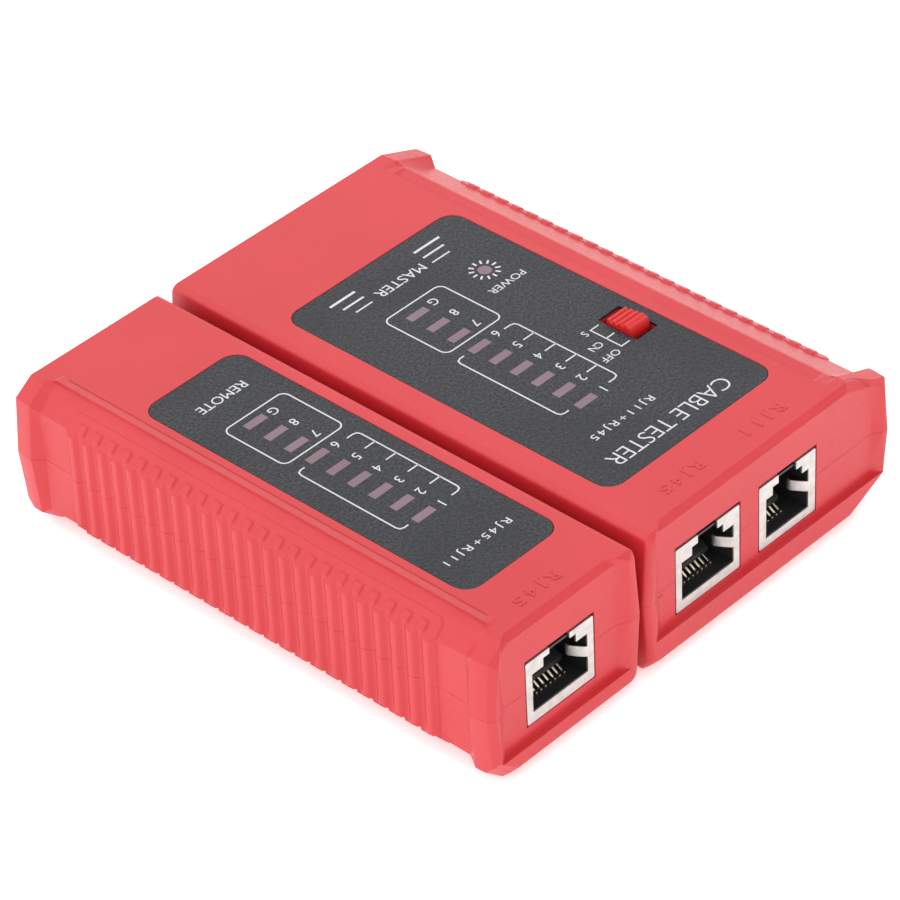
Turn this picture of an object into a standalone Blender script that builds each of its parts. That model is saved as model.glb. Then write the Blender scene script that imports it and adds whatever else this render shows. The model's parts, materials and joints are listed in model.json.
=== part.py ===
"""A two-piece network cable tester: a master unit and the remote unit docked on its side.

Both units are split at mid-height into an upper and a lower shell. The master holds a shielded
eight-way jack, a shielded six-way jack, a slide switch, ten LEDs, a 9 V battery and its sliding
door. The remote holds one eight-way jack and nine LEDs. A T-rail moulded on the remote's lower
shell runs in a channel in the master's lower shell, so the remote slides off along +Y.

Frame: X from the remote to the master, -Y out of the jacks, +Z out of the labels. The origin is
under the middle of the docked pair, on the surface that it rests on.
Lengths are in millimetres until the mesh builders turn them into metres.
"""

import math

import bmesh
import bpy
from mathutils import Vector

MM = 0.001
GAP = 0.3  # clearance between separate pieces
BIG = 10.0  # how far a cutter runs past what it cuts

# Housings
LENGTH = 101.0
HEIGHT = 26.4
SPLIT_Z = 13.9  # height of the parting line
WALL = 2.0
FRONT_WALL = 3.0  # from the front face to the inside
REMOTE_WIDTH = 33.5
MASTER_WIDTH = 58.4
DOCK_GAP = 0.7  # between the two units
SIDE_DRAFT = 0.9  # how far the sides lean in from the parting line
EDGE = 1.2  # chamfer along the inner top and bottom edges
FRONT_BEVEL = 1.0
BOTTOM_BEVEL = 2.2  # under the front and back ends
PANEL_DEPTH = 1.1  # how far the jack panel is let into the front face
PANEL_SLANT = 1.9  # width of the slopes at the panel's sides
OUTER_CORNER = 0.9
INNER_CORNER = 1.2

# Each unit is drawn across its width from its docking side, where u is 0, to its grip side.
SPAN_X = REMOTE_WIDTH + DOCK_GAP + MASTER_WIDTH
REMOTE_DOCK_X = -SPAN_X / 2 + REMOTE_WIDTH
MASTER_DOCK_X = REMOTE_DOCK_X + DOCK_GAP

# Grip: a shallow waist between two bumpers, with vertical ribs
BUMPER = 4.2  # from each end to the slanted wall down to the waist
GRIP_DROP = 0.65  # the facets under the grip reach this much higher than those above it
BUMPER_SLANT = 0.78  # how much further in that wall runs for each millimetre across the roof
FIRST_RIB = 13.0  # from the front face
RIB_COUNT = 24
RIB_PITCH = 3.25
RIB_CREST = 0.8  # from the bumper's side to the crest of a rib
RIB_ROOT = 1.6
RIB_STEPS = 4
GRIP_WALL = 3.4  # the wall is thicker on the grip side, so the waist can be cut into it

# Labels
LABEL_FRONT = 12.0
LABEL_BACK = 80.0
LABEL_THICKNESS = 0.35
LABEL_RECESS = 0.7
LABEL_CORNER = 3.0

# Circuit boards hang under the labels, with the jacks below them
BOARD_Z = 19.7
BOARD_THICKNESS = 1.6
BOARD_FRONT = 3.5
BOARD_BACK = 92.0
BOARD_TOP = BOARD_Z + BOARD_THICKNESS

# Jacks: outer height and depth, and the plug opening, which steps in twice for the latch
JACK_FRONT = PANEL_DEPTH
JACK_DEPTH = 16.0
JACK_BOTTOM = 7.1
JACK_TOP = BOARD_Z - GAP
SHEET = 0.5
OPENING_SHOULDER = 16.25
OPENING_LEDGE = 17.8
PLUG_DEPTH = 12.5
CONTACT_PITCH = 1.02
CONTACT_WIDTH = 0.4

# LEDs
LED_WIDTH = 5.0
LED_LENGTH = 2.0
LED_PITCH = 4.39
LED_FIRST = 29.6  # row position of the LED nearest the jacks
LED_COUNT = 9
LED_TOP = HEIGHT - LABEL_RECESS - GAP

# Slide switch
SWITCH_U = 39.7
SWITCH_Y = 37.9
SLOT_WIDTH = 5.0
SLOT_LENGTH = 7.8
KNOB_WIDTH = 4.4
KNOB_LENGTH = 5.0
KNOB_TOP = HEIGHT + 1.4
KNOB_RIDGES = 4
RIDGE_PITCH = 1.15
SWITCH_CAN_WIDTH = 6.8
SWITCH_CAN_LENGTH = 12.0
SWITCH_FLOOR = 1.2  # thickness of the can under the slider

# Battery and its door
BATTERY_WIDTH = 26.0
BATTERY_LENGTH = 46.0
BATTERY_THICKNESS = 16.6
BATTERY_U = 27.3
BATTERY_BACK = 98.0
BATTERY_Z = 2.6
STUD_OFFSET = 6.35
STUD_RADIUS = 2.4
CLIP_WIDTH = 24.0
CLIP_LENGTH = 4.5
CLIP_HEIGHT = 9.0
LEAD_RADIUS = 0.6
DOOR_WIDTH = 30.0
DOOR_LIP = 1.6  # the door's tongues reach this far past each side of its outer face
DOOR_LIP_Z = 0.95
DOOR_TOP_Z = 1.95
DOOR_FRONT = 45.0
DOOR_WALL_HEIGHT = 12.0
DOOR_WALL = 1.8

# Dock rail on the remote and its channel in the master
RAIL_Z = 8.0
RAIL_FRONT = 15.0
RAIL_BACK = 85.0
RAIL_NECK = 2.4
RAIL_HEAD = 5.0
RAIL_HEAD_U = 1.7  # from the master's docking side to the rail's head
RAIL_REACH = 3.2
CHANNEL_WALL = 1.4

# Screws
BOSS_RADIUS = 2.7
SCREW_HOLE = 1.6
HEAD_BORE = 2.9
HEAD_SEAT_Z = 6.0
SCREW_SHANK = 1.2
SCREW_HEAD = 2.5
SCREW_HEAD_HEIGHT = 1.7
SCREW_TOP = 20.5

RED = (0.78, 0.055, 0.065, 1.0)
DARK_GREY = (0.075, 0.075, 0.085, 1.0)
BOARD_GREEN = (0.02, 0.16, 0.07, 1.0)
STEEL = (0.72, 0.70, 0.68, 1.0)
BLACK = (0.015, 0.015, 0.015, 1.0)
GOLD = (0.85, 0.62, 0.25, 1.0)
MILKY = (0.55, 0.42, 0.47, 1.0)
WIRE_RED = (0.6, 0.02, 0.02, 1.0)


class Unit:
    """One of the two units. Its widths are u values, counted from its docking side."""

    def __init__(self, name, dock_x, direction, width, flank, facet, recess, panel, sill):
        self.name = name
        self.dock_x = dock_x
        self.direction = direction
        self.width = width
        self.flank = flank  # width of the shoulder facets
        self.facet = facet  # height of the shoulder facets
        self.recess = recess  # u and depth of the waist's roof, from its inner edge to the ribs
        self.panel = panel  # from and to, of the flat part of the jack panel
        self.sill = sill  # height of the shelf under the jack panel

    def x(self, u):
        return self.dock_x + self.direction * u


REMOTE = Unit("remote", REMOTE_DOCK_X, -1, REMOTE_WIDTH, flank=4.75, facet=2.5,
              recess=[(25.7, 0.5), (28.9, 0.6), (31.9, 3.45)],
              panel=(4.8, 29.4), sill=4.8)
MASTER = Unit("master", MASTER_DOCK_X, 1, MASTER_WIDTH, flank=9.0, facet=3.0,
              recess=[(46.4, 0.5), (49.6, 0.6), (56.8, 4.6)],
              panel=(4.0, 54.2), sill=6.1)

JACKS = {  # unit, centre across it, outer width, widths of the opening and its steps, floor, ways
    "master_rj45": (MASTER, 15.4, 14.7, (12.0, 7.1, 4.5), 9.0, 8),
    "master_rj11": (MASTER, 34.1, 13.4, (10.1, 6.2, 3.8), 8.7, 4),
    "remote_rj45": (REMOTE, 17.1, 14.7, (12.0, 7.1, 4.5), 9.0, 8),
}
LABELS = {"master": (6.0, 44.4), "remote": (4.1, 24.5)}
LED_ROWS = {"master": 20.4, "remote": 15.0}
LED_NAMES = ["1", "2", "3", "4", "5", "6", "7", "8", "ground"]
POWER_LED_U = 35.9
POWER_LED_RADIUS = 1.5
BOARDS = {"master": (5.5, 43.4), "remote": (6.2, 26.2)}
SCREWS = {
    "master_screw_front_inner": (MASTER, 8.6, 22.5),
    "master_screw_front_outer": (MASTER, 47.4, 10.0),
    "master_screw_back_inner": (MASTER, 8.6, 88.0),
    "master_screw_back_outer": (MASTER, 47.4, 88.0),
    "remote_screw_front": (REMOTE, 5.4, 10.0),
    "remote_screw_back": (REMOTE, 16.0, 92.0),
}


# ---------------------------------------------------------------- mesh builders

def y_world(y):
    """Distance back from the jack faces, as a world coordinate."""
    return y - LENGTH / 2


def make_object(name, mesh_builder, material=None):
    """A mesh object in metres from a bmesh that was built in millimetres."""
    bmesh.ops.scale(mesh_builder, vec=(MM, MM, MM), verts=mesh_builder.verts)
    bmesh.ops.recalc_face_normals(mesh_builder, faces=mesh_builder.faces)
    mesh = bpy.data.meshes.new(name)
    mesh_builder.to_mesh(mesh)
    mesh_builder.free()
    piece = bpy.data.objects.new(name, mesh)
    bpy.context.scene.collection.objects.link(piece)
    if material:
        mesh.materials.append(material)
    return piece


def prism(name, outline, axis, start, end, material=None):
    """An outline in the plane across an axis, extruded from start to end along that axis."""
    builder = bmesh.new()
    corners = []
    for a, b in outline:
        if axis == "x":
            corners.append(builder.verts.new((start, a, b)))
        elif axis == "y":
            corners.append(builder.verts.new((a, start, b)))
        else:
            corners.append(builder.verts.new((a, b, start)))
    face = builder.faces.new(corners)
    swept = bmesh.ops.extrude_face_region(builder, geom=[face])
    moved = [item for item in swept["geom"] if isinstance(item, bmesh.types.BMVert)]
    step = Vector([(end - start) if axis == letter else 0.0 for letter in "xyz"])
    bmesh.ops.translate(builder, vec=step, verts=moved)
    return make_object(name, builder, material)


def box(name, low, high, material=None):
    """A box between two corners."""
    outline = [(low[0], low[1]), (high[0], low[1]), (high[0], high[1]), (low[0], high[1])]
    return prism(name, outline, "z", low[2], high[2], material)


def disc(name, centre, radius, bottom, top, material=None, sides=24):
    """An upright cylinder."""
    turn = 2 * math.pi / sides
    outline = [(centre[0] + radius * math.cos(i * turn), centre[1] + radius * math.sin(i * turn))
               for i in range(sides)]
    return prism(name, outline, "z", bottom, top, material)


def rounded_outline(low, high, radii, steps=5):
    """A rectangle with one corner radius each, counter-clockwise from the low corner."""
    centres = [(low[0] + radii[0], low[1] + radii[0], radii[0], math.pi),
               (high[0] - radii[1], low[1] + radii[1], radii[1], 1.5 * math.pi),
               (high[0] - radii[2], high[1] - radii[2], radii[2], 0.0),
               (low[0] + radii[3], high[1] - radii[3], radii[3], 0.5 * math.pi)]
    outline = []
    for x, y, radius, start in centres:
        for i in range(steps + 1):
            angle = start + 0.5 * math.pi * i / steps
            outline.append((x + radius * math.cos(angle), y + radius * math.sin(angle)))
    return outline


def combine(piece, other, operation):
    """Cuts a piece with another one, joins the two, or keeps what they share."""
    modifier = piece.modifiers.new(other.name, "BOOLEAN")
    modifier.operation = operation
    modifier.solver = "EXACT"
    modifier.object = other
    other.hide_render = True
    other.display_type = "WIRE"
    return piece


def cut(piece, *others):
    for other in others:
        combine(piece, other, "DIFFERENCE")
    return piece


def join(piece, *others):
    for other in others:
        combine(piece, other, "UNION")
    return piece


def material(name, colour, roughness, metallic=0.0):
    """A plain Principled material."""
    made = bpy.data.materials.new(name)
    made.use_nodes = True
    shader = made.node_tree.nodes["Principled BSDF"]
    shader.inputs["Base Color"].default_value = colour
    shader.inputs["Roughness"].default_value = roughness
    shader.inputs["Metallic"].default_value = metallic
    return made


# ---------------------------------------------------------------- housings

def front_outline(unit, inset=0.0, grip_inset=0.0):
    """The unit's outline seen from its jack end, pulled in by the two insets."""
    lean = SIDE_DRAFT
    outer = unit.width - grip_inset
    outline = [
        (lean + EDGE + inset, inset),
        (outer - unit.flank, inset),
        (outer - lean, unit.facet + GRIP_DROP + grip_inset),
        (outer, SPLIT_Z),
        (outer - lean, HEIGHT - unit.facet - grip_inset),
        (outer - unit.flank, HEIGHT - inset),
        (lean + EDGE + inset, HEIGHT - inset),
        (lean + inset, HEIGHT - EDGE - inset),
        (inset, SPLIT_Z),
        (lean + inset, EDGE + inset),
    ]
    return [(unit.x(u), z) for u, z in outline]


def side_outline():
    """The outline seen from the side, the same for both units."""
    front = [
        (BOTTOM_BEVEL, 0.0),
        (0.0, BOTTOM_BEVEL),
        (0.0, HEIGHT - FRONT_BEVEL),
        (FRONT_BEVEL, HEIGHT),
    ]
    back = [(LENGTH - y, z) for y, z in reversed(front)]
    return [(y_world(y), z) for y, z in front + back]


def panel_pocket(name, unit):
    """What is cut from the front face so that the jack panel lies back between its corners."""
    side = [(-1.0, unit.sill), (PANEL_DEPTH, unit.sill), (PANEL_DEPTH, HEIGHT - FRONT_BEVEL),
            (PANEL_DEPTH + 2 * FRONT_BEVEL, HEIGHT + FRONT_BEVEL), (-1.0, HEIGHT + FRONT_BEVEL)]
    low_u, high_u = unit.panel
    mouth = PANEL_SLANT * (1.0 + 1.0 / PANEL_DEPTH)
    plan = [(low_u - mouth, -1.0), (high_u + mouth, -1.0), (high_u, PANEL_DEPTH),
            (high_u, 2 * FRONT_WALL), (low_u, 2 * FRONT_WALL), (low_u, PANEL_DEPTH)]
    ends = sorted((unit.x(low_u - BIG), unit.x(high_u + BIG)))
    pocket = prism(name, [(y_world(y), z) for y, z in side], "x", *ends)
    upright = prism(f"{name}.plan", [(unit.x(u), y_world(y)) for u, y in plan], "z", -1.0, HEIGHT + BIG)
    return combine(pocket, upright, "INTERSECT")


def plan_outline(unit):
    """The outline seen from above, with the grip side's corners rounder than the docking side's."""
    low = (min(unit.x(0), unit.x(unit.width)), y_world(0))
    high = (max(unit.x(0), unit.x(unit.width)), y_world(LENGTH))
    radii = [INNER_CORNER, OUTER_CORNER, OUTER_CORNER, INNER_CORNER]
    if unit.direction < 0:
        radii = [OUTER_CORNER, INNER_CORNER, INNER_CORNER, OUTER_CORNER]
    return rounded_outline(low, high, radii)


def rib_outline(unit):
    """Everything outside the ribbed side, seen from above: a row of round crests between flats.

    The walls at its ends slant outwards to the bumpers.
    """
    root = unit.width - RIB_ROOT
    crest = unit.width - RIB_CREST
    ends = (BUMPER + RIB_ROOT, LENGTH - BUMPER - RIB_ROOT)
    line = [(root + BIG, ends[0] - BIG), (root, ends[0])]
    for rib in range(RIB_COUNT):
        middle = FIRST_RIB + rib * RIB_PITCH
        for step in range(1, RIB_STEPS):
            angle = math.pi * step / RIB_STEPS
            line.append((root + (crest - root) * math.sin(angle),
                         middle - 0.45 * RIB_PITCH * math.cos(angle)))
        line.append((root, middle + 0.5 * RIB_PITCH))
    line += [(root, ends[1]), (root + BIG, ends[1] + BIG)]
    return [(unit.x(u), y_world(y)) for u, y in line]


def waist_recess(name, unit, upper):
    """What the waist loses from the roof or the floor: a shallow step and a facet down to the ribs."""
    inner = unit.recess[0][0]
    outer, drop = unit.recess[-1]
    if not upper:
        drop += GRIP_DROP
    profile = [(inner, -BIG)] + unit.recess[:-1] + [(outer, drop), (outer + BIG, drop), (outer + BIG, -BIG)]
    placed = [(unit.x(u), HEIGHT - depth if upper else depth) for u, depth in profile]
    edge = unit.width - unit.flank
    reach = BUMPER + BUMPER_SLANT * (edge - inner + 1.0)
    plan = [(inner - 1.0, reach), (edge, BUMPER), (outer + BIG, BUMPER),
            (outer + BIG, LENGTH - BUMPER), (edge, LENGTH - BUMPER), (inner - 1.0, LENGTH - reach)]
    recess = prism(name, placed, "y", y_world(0), y_world(LENGTH))
    upright = prism(f"{name}.plan", [(unit.x(u), y_world(y)) for u, y in plan], "z", -BIG - 1.0,
                    HEIGHT + BIG + 1.0)
    return combine(recess, upright, "INTERSECT")


def housing(unit, upper, plastic):
    """One closed half of a housing, with its grip cut and its inside hollowed out."""
    half = "upper" if upper else "lower"
    name = f"{unit.name}_{half}_shell"
    low_z, high_z = (SPLIT_Z + GAP / 2, HEIGHT + BIG) if upper else (-BIG, SPLIT_Z - GAP / 2)
    shell = prism(name, front_outline(unit), "y", y_world(0), y_world(LENGTH), plastic)
    reach = (unit.x(-BIG), unit.x(unit.width + BIG))
    low_x, high_x = min(reach), max(reach)
    sides = prism(f"{name}.sides", side_outline(), "x", low_x, high_x)
    plan = prism(f"{name}.plan", plan_outline(unit), "z", -BIG, HEIGHT + BIG)
    half_space = box(f"{name}.half", (low_x, y_world(-BIG), low_z),
                     (high_x, y_world(LENGTH + BIG), high_z))
    for shape in (sides, plan, half_space):
        combine(shell, shape, "INTERSECT")
    ribs = prism(f"{name}.ribs", rib_outline(unit), "z", -BIG, HEIGHT + BIG)
    cut(shell, ribs, waist_recess(f"{name}.recess", unit, upper))
    cavity = prism(f"{name}.cavity", front_outline(unit, WALL, GRIP_WALL), "y", y_world(FRONT_WALL),
                   y_world(LENGTH - WALL))
    return cut(shell, panel_pocket(f"{name}.pocket", unit), cavity)


def cut_jack_windows(shell, unit):
    """The openings in the front wall that the jacks' shields stand in."""
    for name, (owner, u, width, *_) in JACKS.items():
        if owner is unit:
            half = width / 2 + GAP
            cut(shell, box(f"{shell.name}.{name}", (unit.x(u) - half, y_world(-BIG), JACK_BOTTOM - GAP),
                           (unit.x(u) + half, y_world(FRONT_WALL + 1), JACK_TOP + GAP)))


def add_bosses(shell, unit, upper):
    """Screw posts: the lower ones are bored through for the head, the upper ones for the thread."""
    for name, (owner, u, y) in SCREWS.items():
        if owner is not unit:
            continue
        centre = (unit.x(u), y_world(y))
        tag = f"{shell.name}.{name}"
        if upper:
            join(shell, disc(f"{tag}.boss", centre, BOSS_RADIUS, SPLIT_Z + GAP / 2, HEIGHT - WALL / 2))
            cut(shell, disc(f"{tag}.bore", centre, SCREW_HOLE, SPLIT_Z - 1, SCREW_TOP + GAP))
        else:
            join(shell, disc(f"{tag}.boss", centre, HEAD_BORE + 0.8, WALL / 2, HEAD_SEAT_Z + 1.5))
            join(shell, disc(f"{tag}.post", centre, BOSS_RADIUS, HEAD_SEAT_Z, SPLIT_Z - GAP / 2))
            cut(shell, disc(f"{tag}.bore", centre, SCREW_HOLE, -1, SPLIT_Z + 1))
            cut(shell, disc(f"{tag}.seat", centre, HEAD_BORE, -1, HEAD_SEAT_Z))


def cut_label_bed(shell, unit):
    """The recess for the label and the windows for the LEDs beneath it."""
    low_u, high_u = LABELS[unit.name]
    ends = sorted((unit.x(low_u - GAP), unit.x(high_u + GAP)))
    bed = rounded_outline((ends[0], y_world(LABEL_FRONT - GAP)), (ends[1], y_world(LABEL_BACK + GAP)),
                          [LABEL_CORNER + GAP] * 4)
    cut(shell, prism(f"{shell.name}.bed", bed, "z", HEIGHT - LABEL_RECESS, HEIGHT + BIG))
    across = LED_WIDTH / 2 + GAP
    along = LED_LENGTH / 2 + GAP
    for name, (x, y) in led_places(unit):
        cut(shell, box(f"{shell.name}.{name}", (x - across, y - along, HEIGHT - 2 * WALL),
                       (x + across, y + along, HEIGHT + BIG)))


def led_places(unit):
    """Name and place of each LED in the unit's row."""
    x = unit.x(LED_ROWS[unit.name])
    return [(f"{unit.name}_led_{LED_NAMES[i]}", (x, y_world(LED_FIRST + i * LED_PITCH)))
            for i in range(LED_COUNT)]


def channel_outline(neck, head, head_u, reach):
    """The rail's T section, with the master's docking side at u 0."""
    return [(-DOCK_GAP - 1.0, RAIL_Z - neck / 2), (head_u, RAIL_Z - neck / 2),
            (head_u, RAIL_Z - head / 2), (reach, RAIL_Z - head / 2),
            (reach, RAIL_Z + head / 2), (head_u, RAIL_Z + head / 2),
            (head_u, RAIL_Z + neck / 2), (-DOCK_GAP - 1.0, RAIL_Z + neck / 2)]


def door_outline(clearance):
    """The battery door's stepped section: a flush plate with a tongue along each side."""
    x = MASTER.x(BATTERY_U)
    half = DOOR_WIDTH / 2 + clearance
    lip = half + DOOR_LIP
    low = -clearance * BIG
    return [(x - half, low), (x + half, low), (x + half, DOOR_LIP_Z - clearance),
            (x + lip, DOOR_LIP_Z - clearance), (x + lip, DOOR_TOP_Z + clearance),
            (x - lip, DOOR_TOP_Z + clearance), (x - lip, DOOR_LIP_Z - clearance),
            (x - half, DOOR_LIP_Z - clearance)]


def make_master_housing(plastic):
    upper = housing(MASTER, True, plastic)
    add_bosses(upper, MASTER, True)
    cut_jack_windows(upper, MASTER)
    cut_label_bed(upper, MASTER)
    power = (MASTER.x(POWER_LED_U), y_world(LED_FIRST + 8 * LED_PITCH))
    cut(upper, disc("power_led.window", power, POWER_LED_RADIUS + GAP, HEIGHT - 2 * WALL, HEIGHT + BIG))
    cut(upper, switch_slot("master_upper_shell.slot", HEIGHT - 2 * WALL))

    lower = housing(MASTER, False, plastic)
    x = MASTER.x(BATTERY_U)
    channel = box("channel.block", (MASTER.x(WALL / 2), y_world(WALL / 2), RAIL_Z - RAIL_HEAD),
                  (MASTER.x(RAIL_REACH + GAP + CHANNEL_WALL), y_world(LENGTH - WALL / 2),
                   RAIL_Z + RAIL_HEAD))
    join(lower, channel)
    add_bosses(lower, MASTER, False)
    cut_jack_windows(lower, MASTER)
    slot = [(MASTER.x(u), z) for u, z in channel_outline(
        RAIL_NECK + 2 * GAP, RAIL_HEAD + 2 * GAP, RAIL_HEAD_U - GAP, RAIL_REACH + GAP)]
    cut(lower, prism("channel.slot", slot, "y", y_world(RAIL_FRONT - GAP), y_world(LENGTH + BIG)))
    cut(lower, prism("door.opening", door_outline(GAP), "y", y_world(DOOR_FRONT - GAP),
                     y_world(LENGTH + BIG)))
    cut(lower, box("door.end", (x - DOOR_WIDTH / 2 - GAP, y_world(LENGTH - 2 * WALL), -BIG),
                   (x + DOOR_WIDTH / 2 + GAP, y_world(LENGTH + BIG), DOOR_WALL_HEIGHT + GAP)))


def make_remote_housing(plastic):
    upper = housing(REMOTE, True, plastic)
    add_bosses(upper, REMOTE, True)
    cut_jack_windows(upper, REMOTE)
    cut_label_bed(upper, REMOTE)

    lower = housing(REMOTE, False, plastic)
    add_bosses(lower, REMOTE, False)
    cut_jack_windows(lower, REMOTE)
    rail = [(MASTER.x(u), z)
            for u, z in channel_outline(RAIL_NECK, RAIL_HEAD, RAIL_HEAD_U, RAIL_REACH)]
    join(lower, prism("dock.rail", rail, "y", y_world(RAIL_FRONT), y_world(RAIL_BACK)))


# ---------------------------------------------------------------- labels and switch

def switch_slot(name, bottom):
    """The slot that the switch knob travels in."""
    x = MASTER.x(SWITCH_U)
    y = y_world(SWITCH_Y)
    return box(name, (x - SLOT_WIDTH / 2, y - SLOT_LENGTH / 2, bottom),
               (x + SLOT_WIDTH / 2, y + SLOT_LENGTH / 2, HEIGHT + BIG))


def make_label(unit, film):
    low_u, high_u = LABELS[unit.name]
    ends = sorted((unit.x(low_u), unit.x(high_u)))
    outline = rounded_outline((ends[0], y_world(LABEL_FRONT)), (ends[1], y_world(LABEL_BACK)),
                              [LABEL_CORNER] * 4)
    bottom = HEIGHT - LABEL_RECESS + GAP
    label = prism(f"{unit.name}_label", outline, "z", bottom, bottom + LABEL_THICKNESS, film)
    if unit is MASTER:
        cut(label, switch_slot("master_label.slot", bottom - 1))


def make_switch(metal, plastic):
    """The switch can on the board, and the ridged knob on its slider."""
    x = MASTER.x(SWITCH_U)
    y = y_world(SWITCH_Y)
    floor = BOARD_TOP + SWITCH_FLOOR
    can_top = HEIGHT - WALL - GAP
    across = SWITCH_CAN_WIDTH / 2
    along = SWITCH_CAN_LENGTH / 2
    can = box("power_switch_body", (x - across, y - along, BOARD_TOP + GAP),
              (x + across, y + along, can_top), metal)
    cut(can, box("power_switch_body.slot", (x - 1.3, y - along + 2, floor),
                 (x + 1.3, y + along - 2, can_top + 1)))

    half = KNOB_LENGTH / 2
    bottom = can_top + 2 * GAP
    outline = [(-half, bottom), (half, bottom), (half, KNOB_TOP - 0.6)]
    for ridge in range(KNOB_RIDGES):
        crest = half - 0.2 - ridge * RIDGE_PITCH
        outline += [(crest, KNOB_TOP - 0.45 + 0.15 * ridge), (crest - 0.6, KNOB_TOP - 0.75 + 0.15 * ridge)]
    outline += [(-half + 0.35, KNOB_TOP - 0.5), (-half, KNOB_TOP - 1.4)]
    profile = [(y + back, z) for back, z in outline]
    knob = prism("power_switch_knob", profile, "x", x - KNOB_WIDTH / 2, x + KNOB_WIDTH / 2, plastic)
    join(knob, box("power_switch_knob.stem", (x - 0.9, y - 1.0, floor + GAP),
                   (x + 0.9, y + 1.0, bottom + 1.0)))


# ---------------------------------------------------------------- electronics

def make_board(unit, laminate):
    low_u, high_u = BOARDS[unit.name]
    ends = sorted((unit.x(low_u), unit.x(high_u)))
    board = box(f"{unit.name}_board", (ends[0], y_world(BOARD_FRONT), BOARD_Z),
                (ends[1], y_world(BOARD_BACK), BOARD_TOP), laminate)
    for name, (owner, u, y) in SCREWS.items():
        if owner is unit and low_u - BOSS_RADIUS < u < high_u + BOSS_RADIUS:
            cut(board, disc(f"{board.name}.{name}", (unit.x(u), y_world(y)), BOSS_RADIUS + GAP,
                            BOARD_Z - 1, BOARD_TOP + 1))


def opening_outline(x, widths, bottom):
    """The plug opening seen from the front: a wide main part and two steps, open at the top."""
    main, step, latch = [width / 2 for width in widths]
    roof = JACK_TOP + 1.0
    right = [(main, bottom), (main, OPENING_SHOULDER), (step, OPENING_SHOULDER), (step, OPENING_LEDGE),
             (latch, OPENING_LEDGE), (latch, roof)]
    left = [(-across, z) for across, z in reversed(right)]
    return [(x + across, z) for across, z in right + left]


def make_jack(name, place, metal, plastic, gilt):
    """A shielded jack: a folded metal shield, the moulded insert in it, and its spring contacts."""
    unit, u, width, widths, bottom, ways = place
    x = unit.x(u)
    half = width / 2
    front = y_world(JACK_FRONT)
    back = y_world(JACK_FRONT + JACK_DEPTH)
    opening = opening_outline(x, widths, bottom)
    shield = box(f"{name}_shield", (x - half, front, JACK_BOTTOM), (x + half, back, JACK_TOP), metal)
    cut(shield, box(f"{name}_shield.inside", (x - half + SHEET, front + SHEET, JACK_BOTTOM + SHEET),
                    (x + half - SHEET, back + 1, JACK_TOP - SHEET)))
    cut(shield, prism(f"{name}_shield.opening", opening, "y", front - 1, front + 1))

    inset = SHEET + GAP
    insert = box(f"{name}_insert", (x - half + inset, front + inset, JACK_BOTTOM + inset),
                 (x + half - inset, back, JACK_TOP - inset), plastic)
    cut(insert, prism(f"{name}_insert.opening", opening, "y", front - 1, front + PLUG_DEPTH))

    reach = (ways - 1) * CONTACT_PITCH / 2
    floor = bottom + GAP
    wire = CONTACT_WIDTH / 2
    contacts = box(f"{name}_contacts", (x - reach - wire, front + 10.6, floor),
                   (x + reach + wire, front + 11.2, floor + 1.0), gilt)
    finger = [(2.5, floor), (10.8, floor), (10.8, floor + 0.8), (8.0, floor + 2.2), (7.8, floor + 1.9),
              (10.0, floor + 0.4), (2.5, floor + 0.4)]
    outline = [(front + y, z) for y, z in finger]
    for way in range(ways):
        centre = x - reach + way * CONTACT_PITCH
        join(contacts, prism(f"{name}_contacts.{way}", outline, "x", centre - wire, centre + wire))


def make_leds(unit, lens):
    for name, (x, y) in led_places(unit):
        box(name, (x - LED_WIDTH / 2, y - LED_LENGTH / 2, BOARD_TOP + GAP),
            (x + LED_WIDTH / 2, y + LED_LENGTH / 2, LED_TOP), lens)


def make_chip(name, centre, size, plastic):
    x, y = centre
    chip = box(name, (x - size[0] / 2, y - size[1] / 2, BOARD_TOP + GAP),
               (x + size[0] / 2, y + size[1] / 2, BOARD_TOP + GAP + size[2]), plastic)
    bevel = chip.modifiers.new("edges", "BEVEL")
    bevel.width = 0.25 * MM
    bevel.segments = 1


def lying_disc(name, centre, radius, start, end, material=None):
    """A cylinder that lies along Y, about a centre in the XZ plane."""
    turns = [i * math.pi / 8 for i in range(16)]
    outline = [(centre[0] + radius * math.cos(turn), centre[1] + radius * math.sin(turn))
               for turn in turns]
    return prism(name, outline, "y", start, end, material)


def make_battery(case, plastic, wires):
    """The 9 V block, its snap clip and the two leads that rise to the board."""
    x = MASTER.x(BATTERY_U)
    back = y_world(BATTERY_BACK)
    front = back - BATTERY_LENGTH
    half = BATTERY_WIDTH / 2
    middle = BATTERY_Z + BATTERY_THICKNESS / 2
    outline = rounded_outline((x - half, BATTERY_Z), (x + half, BATTERY_Z + BATTERY_THICKNESS), [2.0] * 4,
                              steps=3)
    battery = prism("battery_9v", outline, "y", front, back, case)
    clip_front = front - CLIP_LENGTH
    clip = box("battery_clip", (x - CLIP_WIDTH / 2, clip_front, middle - CLIP_HEIGHT / 2),
               (x + CLIP_WIDTH / 2, front - GAP, middle + CLIP_HEIGHT / 2), plastic)
    for side, polarity, insulation in ((-1, "positive", wires[0]), (1, "negative", wires[1])):
        stud = (x + side * STUD_OFFSET, middle)
        join(battery, lying_disc(f"battery_9v.{polarity}", stud, STUD_RADIUS, front - 2.0, front + 1))
        cut(clip, lying_disc(f"battery_clip.{polarity}", stud, STUD_RADIUS + 0.4, front - 2.4, front + 1))
        exit_x = x + side * 9.0
        route = [
            (exit_x, clip_front - GAP, middle),
            (exit_x, clip_front - 3.0, middle + 1.0),
            (exit_x + side * 0.5, clip_front - 5.5, middle + 4.0),
            (exit_x + side * 1.0, clip_front - 6.5, BOARD_Z - GAP),
        ]
        make_lead(f"battery_lead_{polarity}", route, insulation)


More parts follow.
